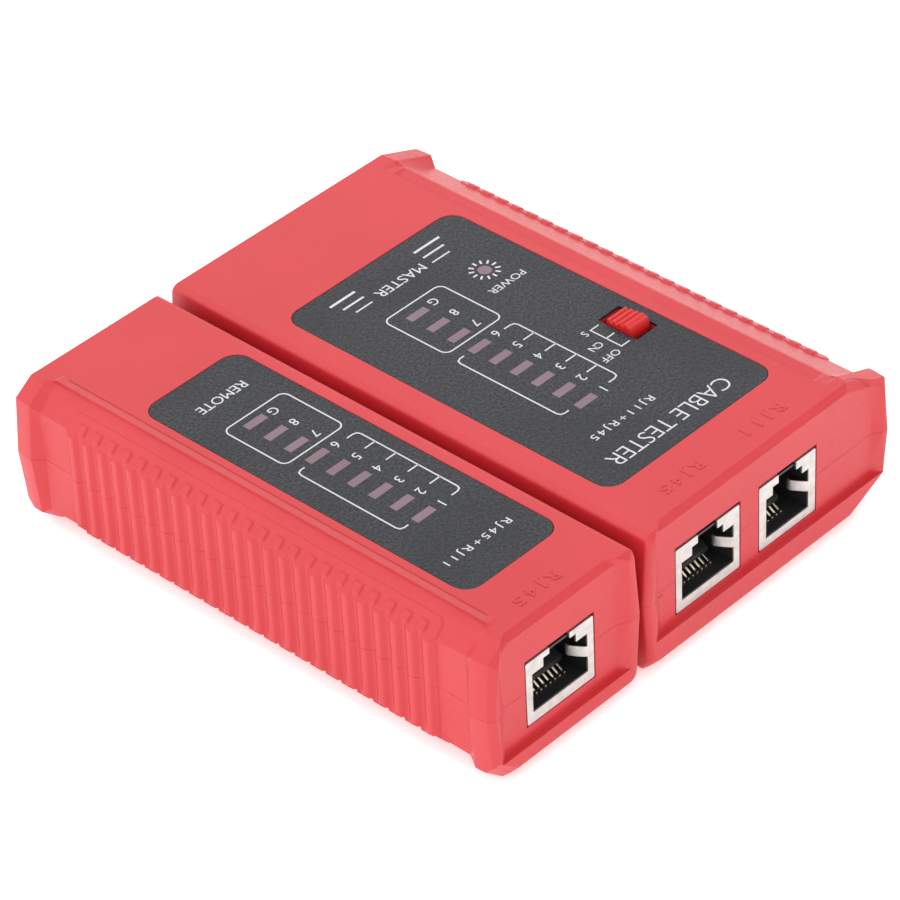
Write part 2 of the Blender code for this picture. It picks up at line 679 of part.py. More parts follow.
def make_lead(name, points, colour):
    """An insulated wire along a smooth curve through its points."""
    curve = bpy.data.curves.new(name, "CURVE")
    curve.dimensions = "3D"
    curve.bevel_depth = LEAD_RADIUS * MM
    curve.bevel_resolution = 2
    curve.use_fill_caps = True
    spline = curve.splines.new("POLY")
    route = smooth_route([Vector(point) * MM for point in points], 4)
    spline.points.add(len(route) - 1)
    for point, place in zip(spline.points, route):
        point.co = (*place, 1.0)
    lead = bpy.data.objects.new(name, curve)
    bpy.context.scene.collection.objects.link(lead)
    curve.materials.append(colour)


def smooth_route(points, steps):
    """Catmull-Rom points through the given ones."""
    padded = [2 * points[0] - points[1]] + points + [2 * points[-1] - points[-2]]
    route = []
    for i in range(1, len(padded) - 2):
        p0, p1, p2, p3 = padded[i - 1:i + 3]
        for step in range(steps):
            t = step / steps
            route.append(0.5 * (2 * p1 + (p2 - p0) * t + (2 * p0 - 5 * p1 + 4 * p2 - p3) * t ** 2
                                + (3 * p1 - p0 - 3 * p2 + p3) * t ** 3))
    return route + [points[-1]]


def make_door(plastic):
    """The battery door: a plate in the bottom with tongues, turned up over the closed end."""
    x = MASTER.x(BATTERY_U)
    half = DOOR_WIDTH / 2
    chin = side_outline()
    low_y = y_world(DOOR_FRONT)
    door = prism("battery_door", [(a, max(b, 0.0)) for a, b in door_outline(0.0)], "y", low_y,
                 y_world(LENGTH), plastic)
    end = box("battery_door.end", (x - half, y_world(LENGTH - DOOR_WALL), 0.0),
              (x + half, y_world(LENGTH), DOOR_WALL_HEIGHT))
    join(door, end)
    combine(door, prism("battery_door.trim", chin, "x", x - 2 * half, x + 2 * half), "INTERSECT")


def make_screws(metal):
    """Pan-head screws, driven up from the bottom."""
    for name, (unit, u, y) in SCREWS.items():
        centre = (unit.x(u), y_world(y))
        seat = HEAD_SEAT_Z - GAP
        screw = disc(name, centre, SCREW_SHANK, seat - 0.5, SCREW_TOP, metal, sides=12)
        head = disc(f"{name}.head", centre, SCREW_HEAD, seat - SCREW_HEAD_HEIGHT, seat, sides=18)
        join(screw, head)
        for i, (wide, deep) in enumerate(((1.5, 0.3), (0.3, 1.5))):
            cut(screw, box(f"{name}.slot{i}", (centre[0] - wide, centre[1] - deep, seat - 3.0),
                           (centre[0] + wide, centre[1] + deep, seat - SCREW_HEAD_HEIGHT + 0.8)))


def main():
    for existing in list(bpy.data.objects):
        bpy.data.objects.remove(existing, do_unlink=True)
    plastic = material("housing_red", RED, 0.42)
    knob = material("knob_red", RED, 0.35)
    film = material("label_film", DARK_GREY, 0.5)
    laminate = material("board_laminate", BOARD_GREEN, 0.45)
    metal = material("shield_metal", STEEL, 0.35, 0.9)
    black = material("black_plastic", BLACK, 0.5)
    gilt = material("contact_gold", GOLD, 0.25, 1.0)
    lens = material("led_lens", MILKY, 0.4)
    case = material("battery_case", BLACK, 0.3, 0.5)
    lead_red = material("lead_red", WIRE_RED, 0.5)
    lead_black = material("lead_black", BLACK, 0.5)

    make_master_housing(plastic)
    make_remote_housing(plastic)
    for unit in (MASTER, REMOTE):
        make_label(unit, film)
        make_board(unit, laminate)
        make_leds(unit, lens)
    power = (MASTER.x(POWER_LED_U), y_world(LED_FIRST + 8 * LED_PITCH))
    disc("power_led", power, POWER_LED_RADIUS, BOARD_TOP + GAP, LED_TOP, lens)
    make_switch(metal, knob)
    for name, place in JACKS.items():
        make_jack(name, place, metal, black, gilt)
    make_chip("counter_chip", (MASTER.x(30.0), y_world(36.0)), (6.0, 10.0, 1.7), black)
    make_chip("timer_chip", (MASTER.x(30.0), y_world(52.0)), (6.0, 5.0, 1.7), black)
    make_battery(case, black, (lead_red, lead_black))
    make_door(plastic)
    make_screws(metal)


main()
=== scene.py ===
"""The looks of a two-piece network cable tester: detailed housings, labels, jacks and knob.

Shapes are worked out in millimetres in each unit's own terms and become metres when a mesh is made:
u runs across a unit from its docking side to its grip, y runs back from the jack end, and depth
runs in from the top face or up from the bottom face.
"""

import json
import math

import bmesh
import bpy
from mathutils import Matrix, Vector


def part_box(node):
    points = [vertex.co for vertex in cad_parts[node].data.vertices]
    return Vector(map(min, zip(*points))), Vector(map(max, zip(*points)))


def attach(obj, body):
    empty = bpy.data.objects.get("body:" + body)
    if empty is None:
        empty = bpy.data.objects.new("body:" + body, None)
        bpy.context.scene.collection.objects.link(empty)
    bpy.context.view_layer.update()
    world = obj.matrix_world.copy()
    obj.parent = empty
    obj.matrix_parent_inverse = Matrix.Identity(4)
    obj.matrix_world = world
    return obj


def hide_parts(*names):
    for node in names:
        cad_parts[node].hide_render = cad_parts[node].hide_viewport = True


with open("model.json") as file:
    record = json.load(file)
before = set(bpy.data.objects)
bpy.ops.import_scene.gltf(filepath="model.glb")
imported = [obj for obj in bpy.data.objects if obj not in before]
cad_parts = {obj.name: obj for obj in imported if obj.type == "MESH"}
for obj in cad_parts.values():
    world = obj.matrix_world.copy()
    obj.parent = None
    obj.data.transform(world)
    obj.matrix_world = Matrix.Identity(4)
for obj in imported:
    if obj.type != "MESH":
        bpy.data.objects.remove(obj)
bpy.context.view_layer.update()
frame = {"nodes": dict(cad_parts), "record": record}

MM = 0.001
BIG = 10.0  # how far a cutter runs past what it cuts
SHARP_ANGLE = 35.0  # edges steeper than this stay sharp

# Housings
LENGTH = 101.0
HEIGHT = 26.4
SPLIT_Z = 13.9
SPLIT_GAP = 0.03
SIDE_DRAFT = 0.9
TOP_FILLET = 1.3
WALL = 2.0
FRONT_WALL = 3.0
FRONT_BEVEL = 1.0
BOTTOM_BEVEL = 2.2
BOTTOM_BEVEL_DEPTH = 2.2
INNER_CORNER = 1.2
OUTER_CHAMFER = 0.9
CORNER_LEAN = 0.35  # the grip side also leans in by this much over the last few millimetres
CORNER_LEAN_LENGTH = 3.0
PANEL_DEPTH = 1.1
PANEL_SLANT = 1.9
GRIP_WALL = 3.4
CAVITY_FALL = 4.4  # height of the slope inside, behind the facet

# Grip: between two bumpers the side and the shoulder lie lower, with a slanted wall at each end
BUMPER = 4.2  # from the end to the foot of that wall on the side
BUMPER_WALL = 1.6
STRIP_START = 3.8  # from the end to that wall at the edge of a bumper's roof
STRIP_WALL = 0.65  # the wall's length where it cuts across the roof
STRIP_SLANT = 0.78  # how much further back it stands for each millimetre further in
GRIP_DROP = 0.65  # the facets under the grip reach this much higher than those above it reach down
FIRST_RIB = 13.0
RIB_COUNT = 24
RIB_PITCH = 3.25
RIB_HALF_WIDTH = 1.5
RIB_FLANK = 1.2
RIB_ROOT = 1.6  # from the bumper's side in to the flat between ribs
RIB_HEIGHT = 0.65
PAD_RISE = 0.2  # the ribs stand on a pad raised by this much
PAD_MARGIN = 1.55
PAD_CORNER = 1.5
PAD_EDGE = 0.2
NUB_RISE = 0.28
NUB_HALF_WIDTH = 0.95
NUB_LENGTH = 2.0
NUB_BELOW = 0.14  # how far a nub reaches past the foot of the facet
NUB_EDGE = 0.22
FACET_STEP = 0.18  # how finely the facet is divided

# Labels and their print
LABEL_CORNER = 3.0
LABEL_RECESS = 0.7
LABEL_LIP = 0.12  # gap between a label and the edge of its bed
PRINT_RISE = 0.02
LETTER_STRETCH = 1.3  # how much wider than drawn a letter may be set
MARK_HEIGHT = 2.7  # the raised marks over the jacks
MARK_REACH = 3.6
MARK_RISE = 0.08
WINDOW_SIZE = (4.1, 1.6)
POWER_WINDOW_RADIUS = 1.2
PANE_DEPTH = 0.03

# Jacks: the shield's face and the plug opening, whose upper part steps in twice for the latch
SHIELD_BOTTOM = 7.2
SHEET = 0.35
WINDOW_BOTTOM = 7.0
WINDOW_HEADROOM = 0.6  # above the shield
WINDOW_SIDE_GAP = 0.22
OPENING_SHOULDER = 16.25
OPENING_LEDGE = 17.8
PLUG_DEPTH = 12.5
TAB_BOTTOM = 11.9
TAB_TOP = 13.8
TAB_THICKNESS = 0.2
TAB_ROUTE = [  # a spring tab seen from above: out from the opening's side, and in from the front
    (0.35, 0.12), (0.0, 0.15), (-0.35, 0.45), (-0.85, 1.15), (-1.35, 1.95), (-1.6, 2.5), (-1.5, 3.0)]

# Contacts: side views of a wire, of the comb between the wires and of the cover over their back ends,
# as distances in from the shield's front and up from the opening's floor
CONTACT_PITCH = 1.02
WIRE_HALF_WIDTH = 0.19
WIRE_HALF_HEIGHT = 0.17
CONTACT_ROUTE = [(2.5, -0.05), (3.0, 0.05), (3.7, 0.5), (5.0, 1.35), (7.2, 2.6), (9.4, 3.7), (10.0, 3.8)]
COMB_TOOTH = 0.5
CARRIER_BACK = PLUG_DEPTH + 0.5
COMB_PROFILE = [(4.3, -0.2), (CARRIER_BACK, -0.2), (CARRIER_BACK, 4.6), (9.4, 4.6), (5.2, 2.4), (4.3, 1.1)]
COVER_PROFILE = [
    (3.9, 1.05), (5.0, 1.75), (9.2, 4.3), (CARRIER_BACK, 4.45), (CARRIER_BACK, 5.2), (9.0, 5.0), (3.9, 1.85)]
JACKS = {  # unit, half-widths of the opening and its steps, its floor, top of the shield, contacts
    "master_rj45": ("master", (6.0, 3.6, 2.25), 9.05, 19.3, 8),
    "master_rj11": ("master", (5.05, 3.5, 2.1), 8.75, 19.3, 4),
    "remote_rj45": ("remote", (6.0, 3.55, 2.2), 9.05, 18.9, 8),
}

# Switch
SLOT_SIZE = (5.0, 8.1)
SLOT_CORNER = 0.35
KNOB_HALF_WIDTH = 2.2
KNOB_BACK = 2.55  # from the middle of the knob, at its top
KNOB_FRONT = -2.7
KNOB_TOP = 27.75
KNOB_RIDGES = 4
RIDGE_PITCH = 1.15
RIDGE_RISE = 0.17  # each ridge stands this much higher than the one behind it

# Battery door
DOOR_HALF_WIDTH = 15.0
DOOR_LIP = 1.6
DOOR_LIP_Z = 0.95
DOOR_TOP_Z = 1.95
DOOR_FRONT = 45.0
DOOR_WALL_HEIGHT = 12.0
DOOR_WALL = 1.8
DOOR_GAP = 0.15
DOOR_GRIP_LINES = 7

# Dock rail on the remote and its channel in the master
RAIL_Z = 8.0
RAIL_ENDS = (15.0, 85.0)
RAIL_NECK = 2.4
RAIL_HEAD = 5.0
RAIL_HEAD_U = 1.7
RAIL_REACH = 3.2
RAIL_CLEARANCE = 0.3
RAIL_FOOT = 1.6  # how far the rail runs back across the gap and into the remote
CHANNEL_WALL = 1.7

# Screw posts
BOSS_RADIUS = 2.7
HEAD_BORE = 2.9
HEAD_SLEEVE = HEAD_BORE + 0.8
HEAD_SEAT_Z = 6.0
HEAD_SEAT = 1.5  # thickness under a screw's head
SCREW_HOLE = 1.6
SCREW_HOLE_TOP = 20.8

# Light: a glowing table in a pale room, a little brighter on the side of the jacks
TABLE_GLOW = 0.38
FRONT_LIGHT = 1.42
BACK_LIGHT = 1.38
SHADE = ((0.6, -0.6, 0.53), 0.35)  # direction and depth of a dimmer patch over the corner by the jacks
GLOW = ((-0.58, 0.56, 0.59), 0.5)  # the same for a brighter patch over the far corner

# Camera
CAMERA_AZIMUTH = -45.29
CAMERA_ELEVATION = 37.68
CAMERA_ROLL = -2.97
CAMERA_TARGET = (7.14, 7.54, 3.4)
CAMERA_DISTANCE = 691.95
CAMERA_LENS = 174.1


class Unit:
    """One unit: where its docking side is, which way it grows, and its cross-section."""

    def __init__(self, name, dock_x, direction, width, waist, bumper, pad_edge, panel, sill):
        self.name = name
        self.dock_x = dock_x
        self.direction = direction
        self.width = width
        self.waist = waist  # (u, depth) corners from the edge of the roof out to the foot of the facet
        self.bumper = bumper  # the last two of these corners across a bumper
        self.pad_edge = pad_edge  # how far down the facet the raised pad begins, from 0 to 1
        self.panel = panel
        self.sill = sill  # height of the shelf under the jack panel

    def x(self, u):
        return self.dock_x + self.direction * u

    def place(self, u, y, z):
        return (self.x(u), y - LENGTH / 2, z)


def box_of(node):
    """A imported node's low and high corners, in millimetres."""
    low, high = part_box(node)
    return low / MM, high / MM


REMOTE = Unit(
    "remote", box_of("remote_upper_shell")[1].x, -1, 33.47,
    waist=[(26.0, 0.0), (26.03, 0.12), (27.75, -0.38), (27.8, 0.25), (29.15, 0.85), (31.9, 3.45)],
    bumper=[(29.1, 0.0), (32.6, 2.4)],
    pad_edge=0.12, panel=(4.8, 29.4), sill=4.75)
MASTER = Unit(
    "master", box_of("master_upper_shell")[0].x, 1, 58.37,
    waist=[(46.4, 0.0), (46.45, 0.5), (49.1, 0.4), (49.15, 0.5), (49.6, 0.6), (56.8, 4.6)],
    bumper=[(49.4, 0.0), (57.5, 3.0)],
    pad_edge=0.83, panel=(4.0, 54.2), sill=6.05)
UNITS = (MASTER, REMOTE)


# ---------------------------------------------------------------- mesh helpers

def smooth_faces(mesh):
    mesh.shade_smooth()
    mesh.set_sharp_from_angle(angle=math.radians(SHARP_ANGLE))


def new_piece(name, builder, material=None):
    """A mesh object in metres from a bmesh in millimetres."""
    bmesh.ops.scale(builder, vec=(MM, MM, MM), verts=builder.verts)
    bmesh.ops.recalc_face_normals(builder, faces=builder.faces)
    mesh = bpy.data.meshes.new(name)
    builder.to_mesh(mesh)
    builder.free()
    piece = bpy.data.objects.new(name, mesh)
    bpy.context.scene.collection.objects.link(piece)
    if material:
        mesh.materials.append(material)
    smooth_faces(mesh)
    return piece


def add_prism(builder, outline, axis, start, end):
    """An outline in the plane across an axis, extruded along it, added to a bmesh."""
    corners = []
    for a, b in outline:
        spot = {"x": (start, a, b), "y": (a, start, b), "z": (a, b, start)}[axis]
        corners.append(builder.verts.new(spot))
    face = builder.faces.new(corners)
    swept = bmesh.ops.extrude_face_region(builder, geom=[face])
    moved = [item for item in swept["geom"] if isinstance(item, bmesh.types.BMVert)]
    step = Vector([(end - start) if axis == letter else 0.0 for letter in "xyz"])
    bmesh.ops.translate(builder, vec=step, verts=moved)


def prism(name, outline, axis, start, end, material=None):
    builder = bmesh.new()
    add_prism(builder, outline, axis, start, end)
    return new_piece(name, builder, material)


def add_turned(builder, centre, profile, sides=32):
    """A turned shape on an upright axis, from (radius, z) corners, added to a bmesh."""
    rings = [[builder.verts.new((x, y, z)) for x, y in circle(centre, radius, sides)]
             for radius, z in profile]
    skin(builder, rings)


def skin(builder, rings):
    """Joins rings of equally many vertices and closes both ends."""
    for ring, following in zip(rings, rings[1:]):
        for i in range(len(ring)):
            j = (i + 1) % len(ring)
            builder.faces.new((ring[i], ring[j], following[j], following[i]))
    builder.faces.new(rings[0])
    builder.faces.new(rings[-1])


def rectangle(low, high):
    return [(low[0], low[1]), (high[0], low[1]), (high[0], high[1]), (low[0], high[1])]


def rounded_rectangle(low, high, radius, steps=8):
    left, right = low[0] + radius, high[0] - radius
    bottom, top = low[1] + radius, high[1] - radius
    centres = [(left, bottom, math.pi), (right, bottom, 1.5 * math.pi), (right, top, 0.0),
               (left, top, 0.5 * math.pi)]
    outline = []
    for x, y, start in centres:
        for i in range(steps + 1):
            angle = start + 0.5 * math.pi * i / steps
            outline.append((x + radius * math.cos(angle), y + radius * math.sin(angle)))
    return outline


def circle(centre, radius, sides=32):
    turn = 2 * math.pi / sides
    return [(centre[0] + radius * math.cos(i * turn), centre[1] + radius * math.sin(i * turn))
            for i in range(sides)]


def boolean(piece, cutters, operation="DIFFERENCE"):
    """Cuts or joins and keeps the result as plain mesh; the cutters are removed."""
    for cutter in cutters:
        modifier = piece.modifiers.new("boolean", "BOOLEAN")
        modifier.operation = operation
        modifier.solver = "EXACT"
        modifier.object = cutter
    bake(piece)
    for cutter in cutters:
        bpy.data.objects.remove(cutter)


def bake(piece):
    """Replaces a piece's mesh with its mesh after modifiers."""
    graph = bpy.context.evaluated_depsgraph_get()
    mesh = bpy.data.meshes.new_from_object(piece.evaluated_get(graph), depsgraph=graph)
    piece.modifiers.clear()
    piece.data = mesh
    smooth_faces(mesh)


def paint(piece, material):
    piece.data.materials.clear()
    piece.data.materials.append(material)


def soften(piece, width, segments=2, angle=SHARP_ANGLE):
    """Rounds a piece's sharp edges."""
    modifier = piece.modifiers.new("rounded edges", "BEVEL")
    modifier.width = width * MM
    modifier.segments = segments
    modifier.limit_method = "ANGLE"
    modifier.angle_limit = math.radians(angle)
    modifier.harden_normals = True


def even_normals(piece):
    """Lets large flat faces keep their own shading beside small rounded ones."""
    modifier = piece.modifiers.new("weighted normals", "WEIGHTED_NORMAL")
    modifier.keep_sharp = True


# ---------------------------------------------------------------- materials

def add_node(tree, kind, inputs, **settings):
    """A node with its settings, and with each input linked or given a value."""
    made = tree.nodes.new(kind)
    for key, value in settings.items():
        setattr(made, key, value)
    for key, value in inputs.items():
        if isinstance(value, bpy.types.NodeSocket):
            tree.links.new(value, made.inputs[key])
        else:
            made.inputs[key].default_value = value
    return made


def map_range(tree, value, limits, **settings):
    """A value moved from one range to another; limits are the first range's ends, then the second's."""
    inputs = dict(zip(("Value", "From Min", "From Max", "To Min", "To Max"), (value, *limits)))
    return add_node(tree, "ShaderNodeMapRange", inputs, **settings).outputs["Result"]


class Shader:
    """A small builder for node materials around one Principled shader."""

    def __init__(self, name, colour, roughness, metallic=0.0, specular=0.5):
        self.name = name
        self.material = bpy.data.materials.new(name)
        self.material.use_nodes = True
        self.tree = self.material.node_tree
        self.shader = self.tree.nodes["Principled BSDF"]
        self.set("Base Color", (*colour, 1.0))
        self.set("Roughness", roughness)
        self.set("Metallic", metallic)
        self.set("Specular IOR Level", specular)
        self.place = self.tree.nodes.new("ShaderNodeTexCoord").outputs["Object"]
        self.normal = None

    def set(self, socket, value):
        self.shader.inputs[socket].default_value = value

    def link(self, output, socket):
        """Feeds one of the Principled shader's sockets."""
        self.tree.links.new(output, self.shader.inputs[socket])

    def noise(self, scale, detail=2.0, rough=0.5):
        inputs = {"Scale": scale, "Detail": detail, "Roughness": rough, "Vector": self.place}
        return add_node(self.tree, "ShaderNodeTexNoise", inputs).outputs["Fac"]

    def cells(self, scale):
        inputs = {"Scale": scale, "Vector": self.place}
        return add_node(self.tree, "ShaderNodeTexVoronoi", inputs).outputs["Distance"]

    def spread(self, value, low, high, to_low=0.0, to_high=1.0):
        return map_range(self.tree, value, (low, high, to_low, to_high))

    def blend(self, amount, first, second):
        """A colour between two colours, by a value from 0 to 1."""
        inputs = {"Factor": amount}
        for socket, colour in ((6, first), (7, second)):
            inputs[socket] = (*colour, 1.0) if isinstance(colour, tuple) else colour
        return add_node(self.tree, "ShaderNodeMix", inputs, data_type="RGBA").outputs[2]

    def bump(self, height, strength, distance):
        inputs = {"Strength": strength, "Distance": distance * MM, "Height": height}
        if self.normal:
            inputs["Normal"] = self.normal
        self.set_normal(add_node(self.tree, "ShaderNodeBump", inputs))

    def rounded_edges(self, radius):
        self.set_normal(add_node(self.tree, "ShaderNodeBevel", {"Radius": radius * MM}, samples=6))

    def set_normal(self, made):
        self.normal = made.outputs["Normal"]
        self.link(self.normal, "Normal")


def moulded_plastic(name, colour, shade, roughness, grain=1400.0, edge=0.18):
    """Fine-grained moulded plastic with slight clouding."""
    look = Shader(name, colour, roughness)
    look.rounded_edges(edge)
    clouds = look.spread(look.noise(45.0, 3.0), 0.35, 0.65)
    look.link(look.blend(clouds, colour, shade), "Base Color")
    grain_noise = look.noise(grain, 3.0, 0.6)
    look.link(look.spread(grain_noise, 0.3, 0.7, roughness - 0.05, roughness + 0.07), "Roughness")
    look.bump(grain_noise, 0.25, 0.03)
    return look


def make_materials():
    """Every finish, by the record's slot name."""
    housing = moulded_plastic("housing_red", (0.54, 0.024, 0.031), (0.51, 0.020, 0.026), 0.40)
    knob = moulded_plastic("knob_red", (0.60, 0.012, 0.011), (0.55, 0.009, 0.009), 0.34, edge=0.12)

    film = Shader("label_film", (0.04, 0.04, 0.045), 0.45, specular=0.3)
    pebbles = film.cells(1700.0)
    speckle = film.noise(2200.0, 3.0, 0.75)
    tone = film.blend(film.spread(speckle, 0.42, 0.66), (0.007, 0.008, 0.011), (0.060, 0.061, 0.070))
    tone = film.blend(film.spread(film.noise(60.0), 0.4, 0.65, 0.0, 0.35), tone, (0.008, 0.009, 0.012))
    film.link(tone, "Base Color")
    film.link(film.spread(speckle, 0.3, 0.75, 0.36, 0.6), "Roughness")
    film.bump(pebbles, 0.8, 0.06)

    ink = moulded_plastic("label_ink", (0.58, 0.58, 0.58), (0.53, 0.53, 0.535), 0.5, 2500.0, edge=0.01)
    window = moulded_plastic("led_lens", (0.20, 0.12, 0.145), (0.165, 0.10, 0.12), 0.42, 2400.0, edge=0.02)

    sheet = Shader("shield_metal", (0.74, 0.71, 0.68), 0.36, 0.85)
    sheet.rounded_edges(0.08)
    scratches = sheet.noise(700.0, 4.0, 0.65)
    sheet.link(sheet.blend(sheet.spread(scratches, 0.35, 0.7), (0.64, 0.615, 0.59), (0.51, 0.485, 0.465)),
               "Base Color")
    sheet.link(sheet.spread(scratches, 0.3, 0.7, 0.30, 0.46), "Roughness")
    sheet.bump(scratches, 0.12, 0.02)

    screw = Shader("screw_steel", (0.60, 0.60, 0.62), 0.32, 1.0)
    screw.bump(screw.noise(900.0, 3.0), 0.2, 0.02)
    screw.link(screw.spread(screw.noise(500.0), 0.3, 0.7, 0.25, 0.42), "Roughness")

    black = moulded_plastic("jack_plastic", (0.012, 0.012, 0.013), (0.02, 0.02, 0.02), 0.38, 1800.0,
                            edge=0.06)

    gilt = Shader("contact_gold", (0.90, 0.80, 0.62), 0.22, 1.0)
    gilt.link(gilt.spread(gilt.noise(900.0), 0.3, 0.7, 0.16, 0.3), "Roughness")

    board = Shader("board_laminate", (0.02, 0.16, 0.07), 0.35)
    tracks = add_node(board.tree, "ShaderNodeTexBrick", {
        "Scale": 420.0, "Mortar Size": 0.03, "Color1": (0.020, 0.150, 0.065, 1.0),
        "Color2": (0.016, 0.125, 0.055, 1.0), "Mortar": (0.035, 0.23, 0.10, 1.0),
        "Vector": board.place}, offset=0.5)
    board.link(tracks.outputs["Color"], "Base Color")
    board.bump(tracks.outputs["Fac"], 0.2, 0.03)

    case = moulded_plastic("battery_case", (0.025, 0.027, 0.032), (0.04, 0.042, 0.048), 0.3, 600.0, edge=0.3)
    lead_red = moulded_plastic("lead_red", (0.6, 0.02, 0.02), (0.5, 0.015, 0.015), 0.4)
    lead_black = moulded_plastic("lead_black", (0.015, 0.015, 0.015), (0.03, 0.03, 0.03), 0.4)
    looks = (housing, knob, film, ink, window, sheet, screw, black, gilt, board, case, lead_red, lead_black)
    return {look.name: look.material for look in looks}


# ---------------------------------------------------------------- housing sections

def ramp(value, start, end):
    """0 before start, 1 after end, smooth between."""
    t = min(max((value - start) / (end - start), 0.0), 1.0)
    return t * t * (3 - 2 * t)


def corner_inset(distance, radius):
    """How far a rounded corner pulls in the side at a distance from the end."""
    if distance >= radius:
        return 0.0
    return radius - math.sqrt(radius ** 2 - (radius - distance) ** 2)


def waist_amount(y, start, length):
    """0 across a bumper and 1 across the waist, with a straight wall between them at each end."""
    from_end = min(y, LENGTH - y)
    return min(max((from_end - start) / length, 0.0), 1.0)


def pad_height(y, along):
    """Rise of the pad that the ribs stand on; along runs down the facet from the pad's upper edge."""
    start = FIRST_RIB - PAD_MARGIN
    end = FIRST_RIB + (RIB_COUNT - 1) * RIB_PITCH + PAD_MARGIN
    inside_y = min(y - start, end - y)
    if inside_y <= 0 or along <= 0:
        return 0.0
    if inside_y < PAD_CORNER and along < PAD_CORNER:
        inside = PAD_CORNER - math.hypot(PAD_CORNER - inside_y, PAD_CORNER - along)
    else:
        inside = min(inside_y, along)
    return PAD_RISE * ramp(inside, 0.0, PAD_EDGE)


def row_offset(y, first, count):
    """Distance from the middle of the nearest of a row of ribs or nubs."""
    nearest = min(max(round((y - first) / RIB_PITCH), 0), count - 1)
    return abs(y - first - nearest * RIB_PITCH)


def nub_height(aside, along):
    """Rise of the small nub above each gap between ribs; along runs down from the nub's top."""
    inside = min(NUB_HALF_WIDTH - aside, along, NUB_LENGTH - along)
    return NUB_RISE * ramp(inside, 0.0, NUB_EDGE)


def half_profile(unit, y, reach, end_bevel, bevel_depth, upper):
    """A half housing's section: (u, depth) points from the docking side, over, to the grip side."""
    grip_drop = 0.0 if upper else GRIP_DROP
    bumper_edge, bumper_foot = unit.bumper[0], (unit.bumper[1][0], unit.bumper[1][1] + grip_drop)
    waist_edge, waist_foot = unit.waist[4], (unit.waist[5][0], unit.waist[5][1] + grip_drop)
    from_end = min(y, LENGTH - y)
    drop = end_bevel * max(0.0, 1.0 - from_end / bevel_depth)
    inner = corner_inset(from_end, INNER_CORNER)
    outer = max(0.0, OUTER_CHAMFER - from_end)
    outer += CORNER_LEAN * max(0.0, 1.0 - from_end / CORNER_LEAN_LENGTH)

    profile = [(inner, reach)]
    for i in range(7):
        angle = 0.5 * math.pi * i / 6
        profile.append((SIDE_DRAFT + inner + TOP_FILLET * (1 - math.cos(angle)),
                        TOP_FILLET * (1 - math.sin(angle)) + drop))
    for u, depth in unit.waist[:4]:
        amount = waist_amount(y, STRIP_START + STRIP_SLANT * (bumper_edge[0] - u), STRIP_WALL)
        if not upper:
            depth = max(depth, 0.0)  # nothing stands out below the flat bottom
        profile.append((u - outer, depth * amount + drop))

    waist = waist_amount(y, BUMPER, BUMPER_WALL)
    shoulder, foot = [
        tuple(low + (high - low) * waist for low, high in zip(bumper, corner))
        for bumper, corner in ((bumper_edge, waist_edge), (bumper_foot, waist_foot))]
    facet = math.dist(shoulder, foot)
    normal = ((foot[1] - shoulder[1]) / facet, -(foot[0] - shoulder[0]) / facet)
    crest = unit.width - RIB_ROOT + PAD_RISE + RIB_HEIGHT
    span = (crest + 0.1 - shoulder[0]) / (foot[0] - shoulder[0])
    rib = 1.0 - ramp(row_offset(y, FIRST_RIB, RIB_COUNT), RIB_HALF_WIDTH - RIB_FLANK, RIB_HALF_WIDTH)
    beside_nub = row_offset(y, FIRST_RIB + RIB_PITCH / 2, RIB_COUNT - 1)
    nub_top = facet - NUB_LENGTH + NUB_BELOW

    def wall(depth):
        """The side of the grip at a depth."""
        down = (depth - bumper_foot[1]) / (reach - bumper_foot[1])
        bumper = bumper_foot[0] + (unit.width - bumper_foot[0]) * down
        flat = bumper + (unit.width - RIB_ROOT - bumper) * waist
        return flat + (pad_height(y, facet) + RIB_HEIGHT * rib) * waist

    steps = math.ceil(1.4 * math.dist(waist_edge, waist_foot) / FACET_STEP)
    for i in range(steps + 1):
        t = span * i / steps
        along = facet * t
        lift = pad_height(y, along - unit.pad_edge * facet) + nub_height(beside_nub, along - nub_top)
        depth = shoulder[1] + (foot[1] - shoulder[1]) * t
        u = shoulder[0] + (foot[0] - shoulder[0]) * t
        limit = wall(depth)
        if u < limit:
            u += normal[0] * lift * waist
            depth += normal[1] * lift * waist
        profile.append((min(u, limit) - outer, min(depth + drop, reach)))
    last = shoulder[1] + (foot[1] - shoulder[1]) * span
    for depth in (last + 0.5, last + 2.0, reach):
        profile.append((min(wall(depth), unit.width) - outer, min(depth + drop, reach)))
    return profile


def stations():
    """Where the sections are taken, from front to back."""
    ends = [0.0, 0.1, 0.25, 0.45, 0.7, OUTER_CHAMFER, FRONT_BEVEL, INNER_CORNER, BOTTOM_BEVEL_DEPTH,
            CORNER_LEAN_LENGTH, BUMPER, BUMPER + BUMPER_WALL]
    ends += [STRIP_START + 0.15 * step for step in range(32)]
    places = set(ends) | {LENGTH - y for y in ends}
    last = FIRST_RIB + (RIB_COUNT - 1) * RIB_PITCH
    for edge, away in ((FIRST_RIB - PAD_MARGIN, 1), (last + PAD_MARGIN, -1)):
        places |= {edge + away * step for step in (0.0, 0.07, 0.14, 0.2, 0.35, 0.6, 0.9)}
    for rib in range(RIB_COUNT):
        rib_y = FIRST_RIB + rib * RIB_PITCH
        nub_y = rib_y + RIB_PITCH / 2
        for side in (-1, 1):
            places |= {rib_y + side * (RIB_HALF_WIDTH - RIB_FLANK * i / 8) for i in range(9)}
            places |= {nub_y + side * (NUB_HALF_WIDTH - NUB_EDGE * i / 3) for i in range(4)}
    ordered = sorted(round(y, 3) for y in places)
    kept = [ordered[0]]
    for y in ordered[1:]:
        if y - kept[-1] > 0.02:
            kept.append(y)
    return kept


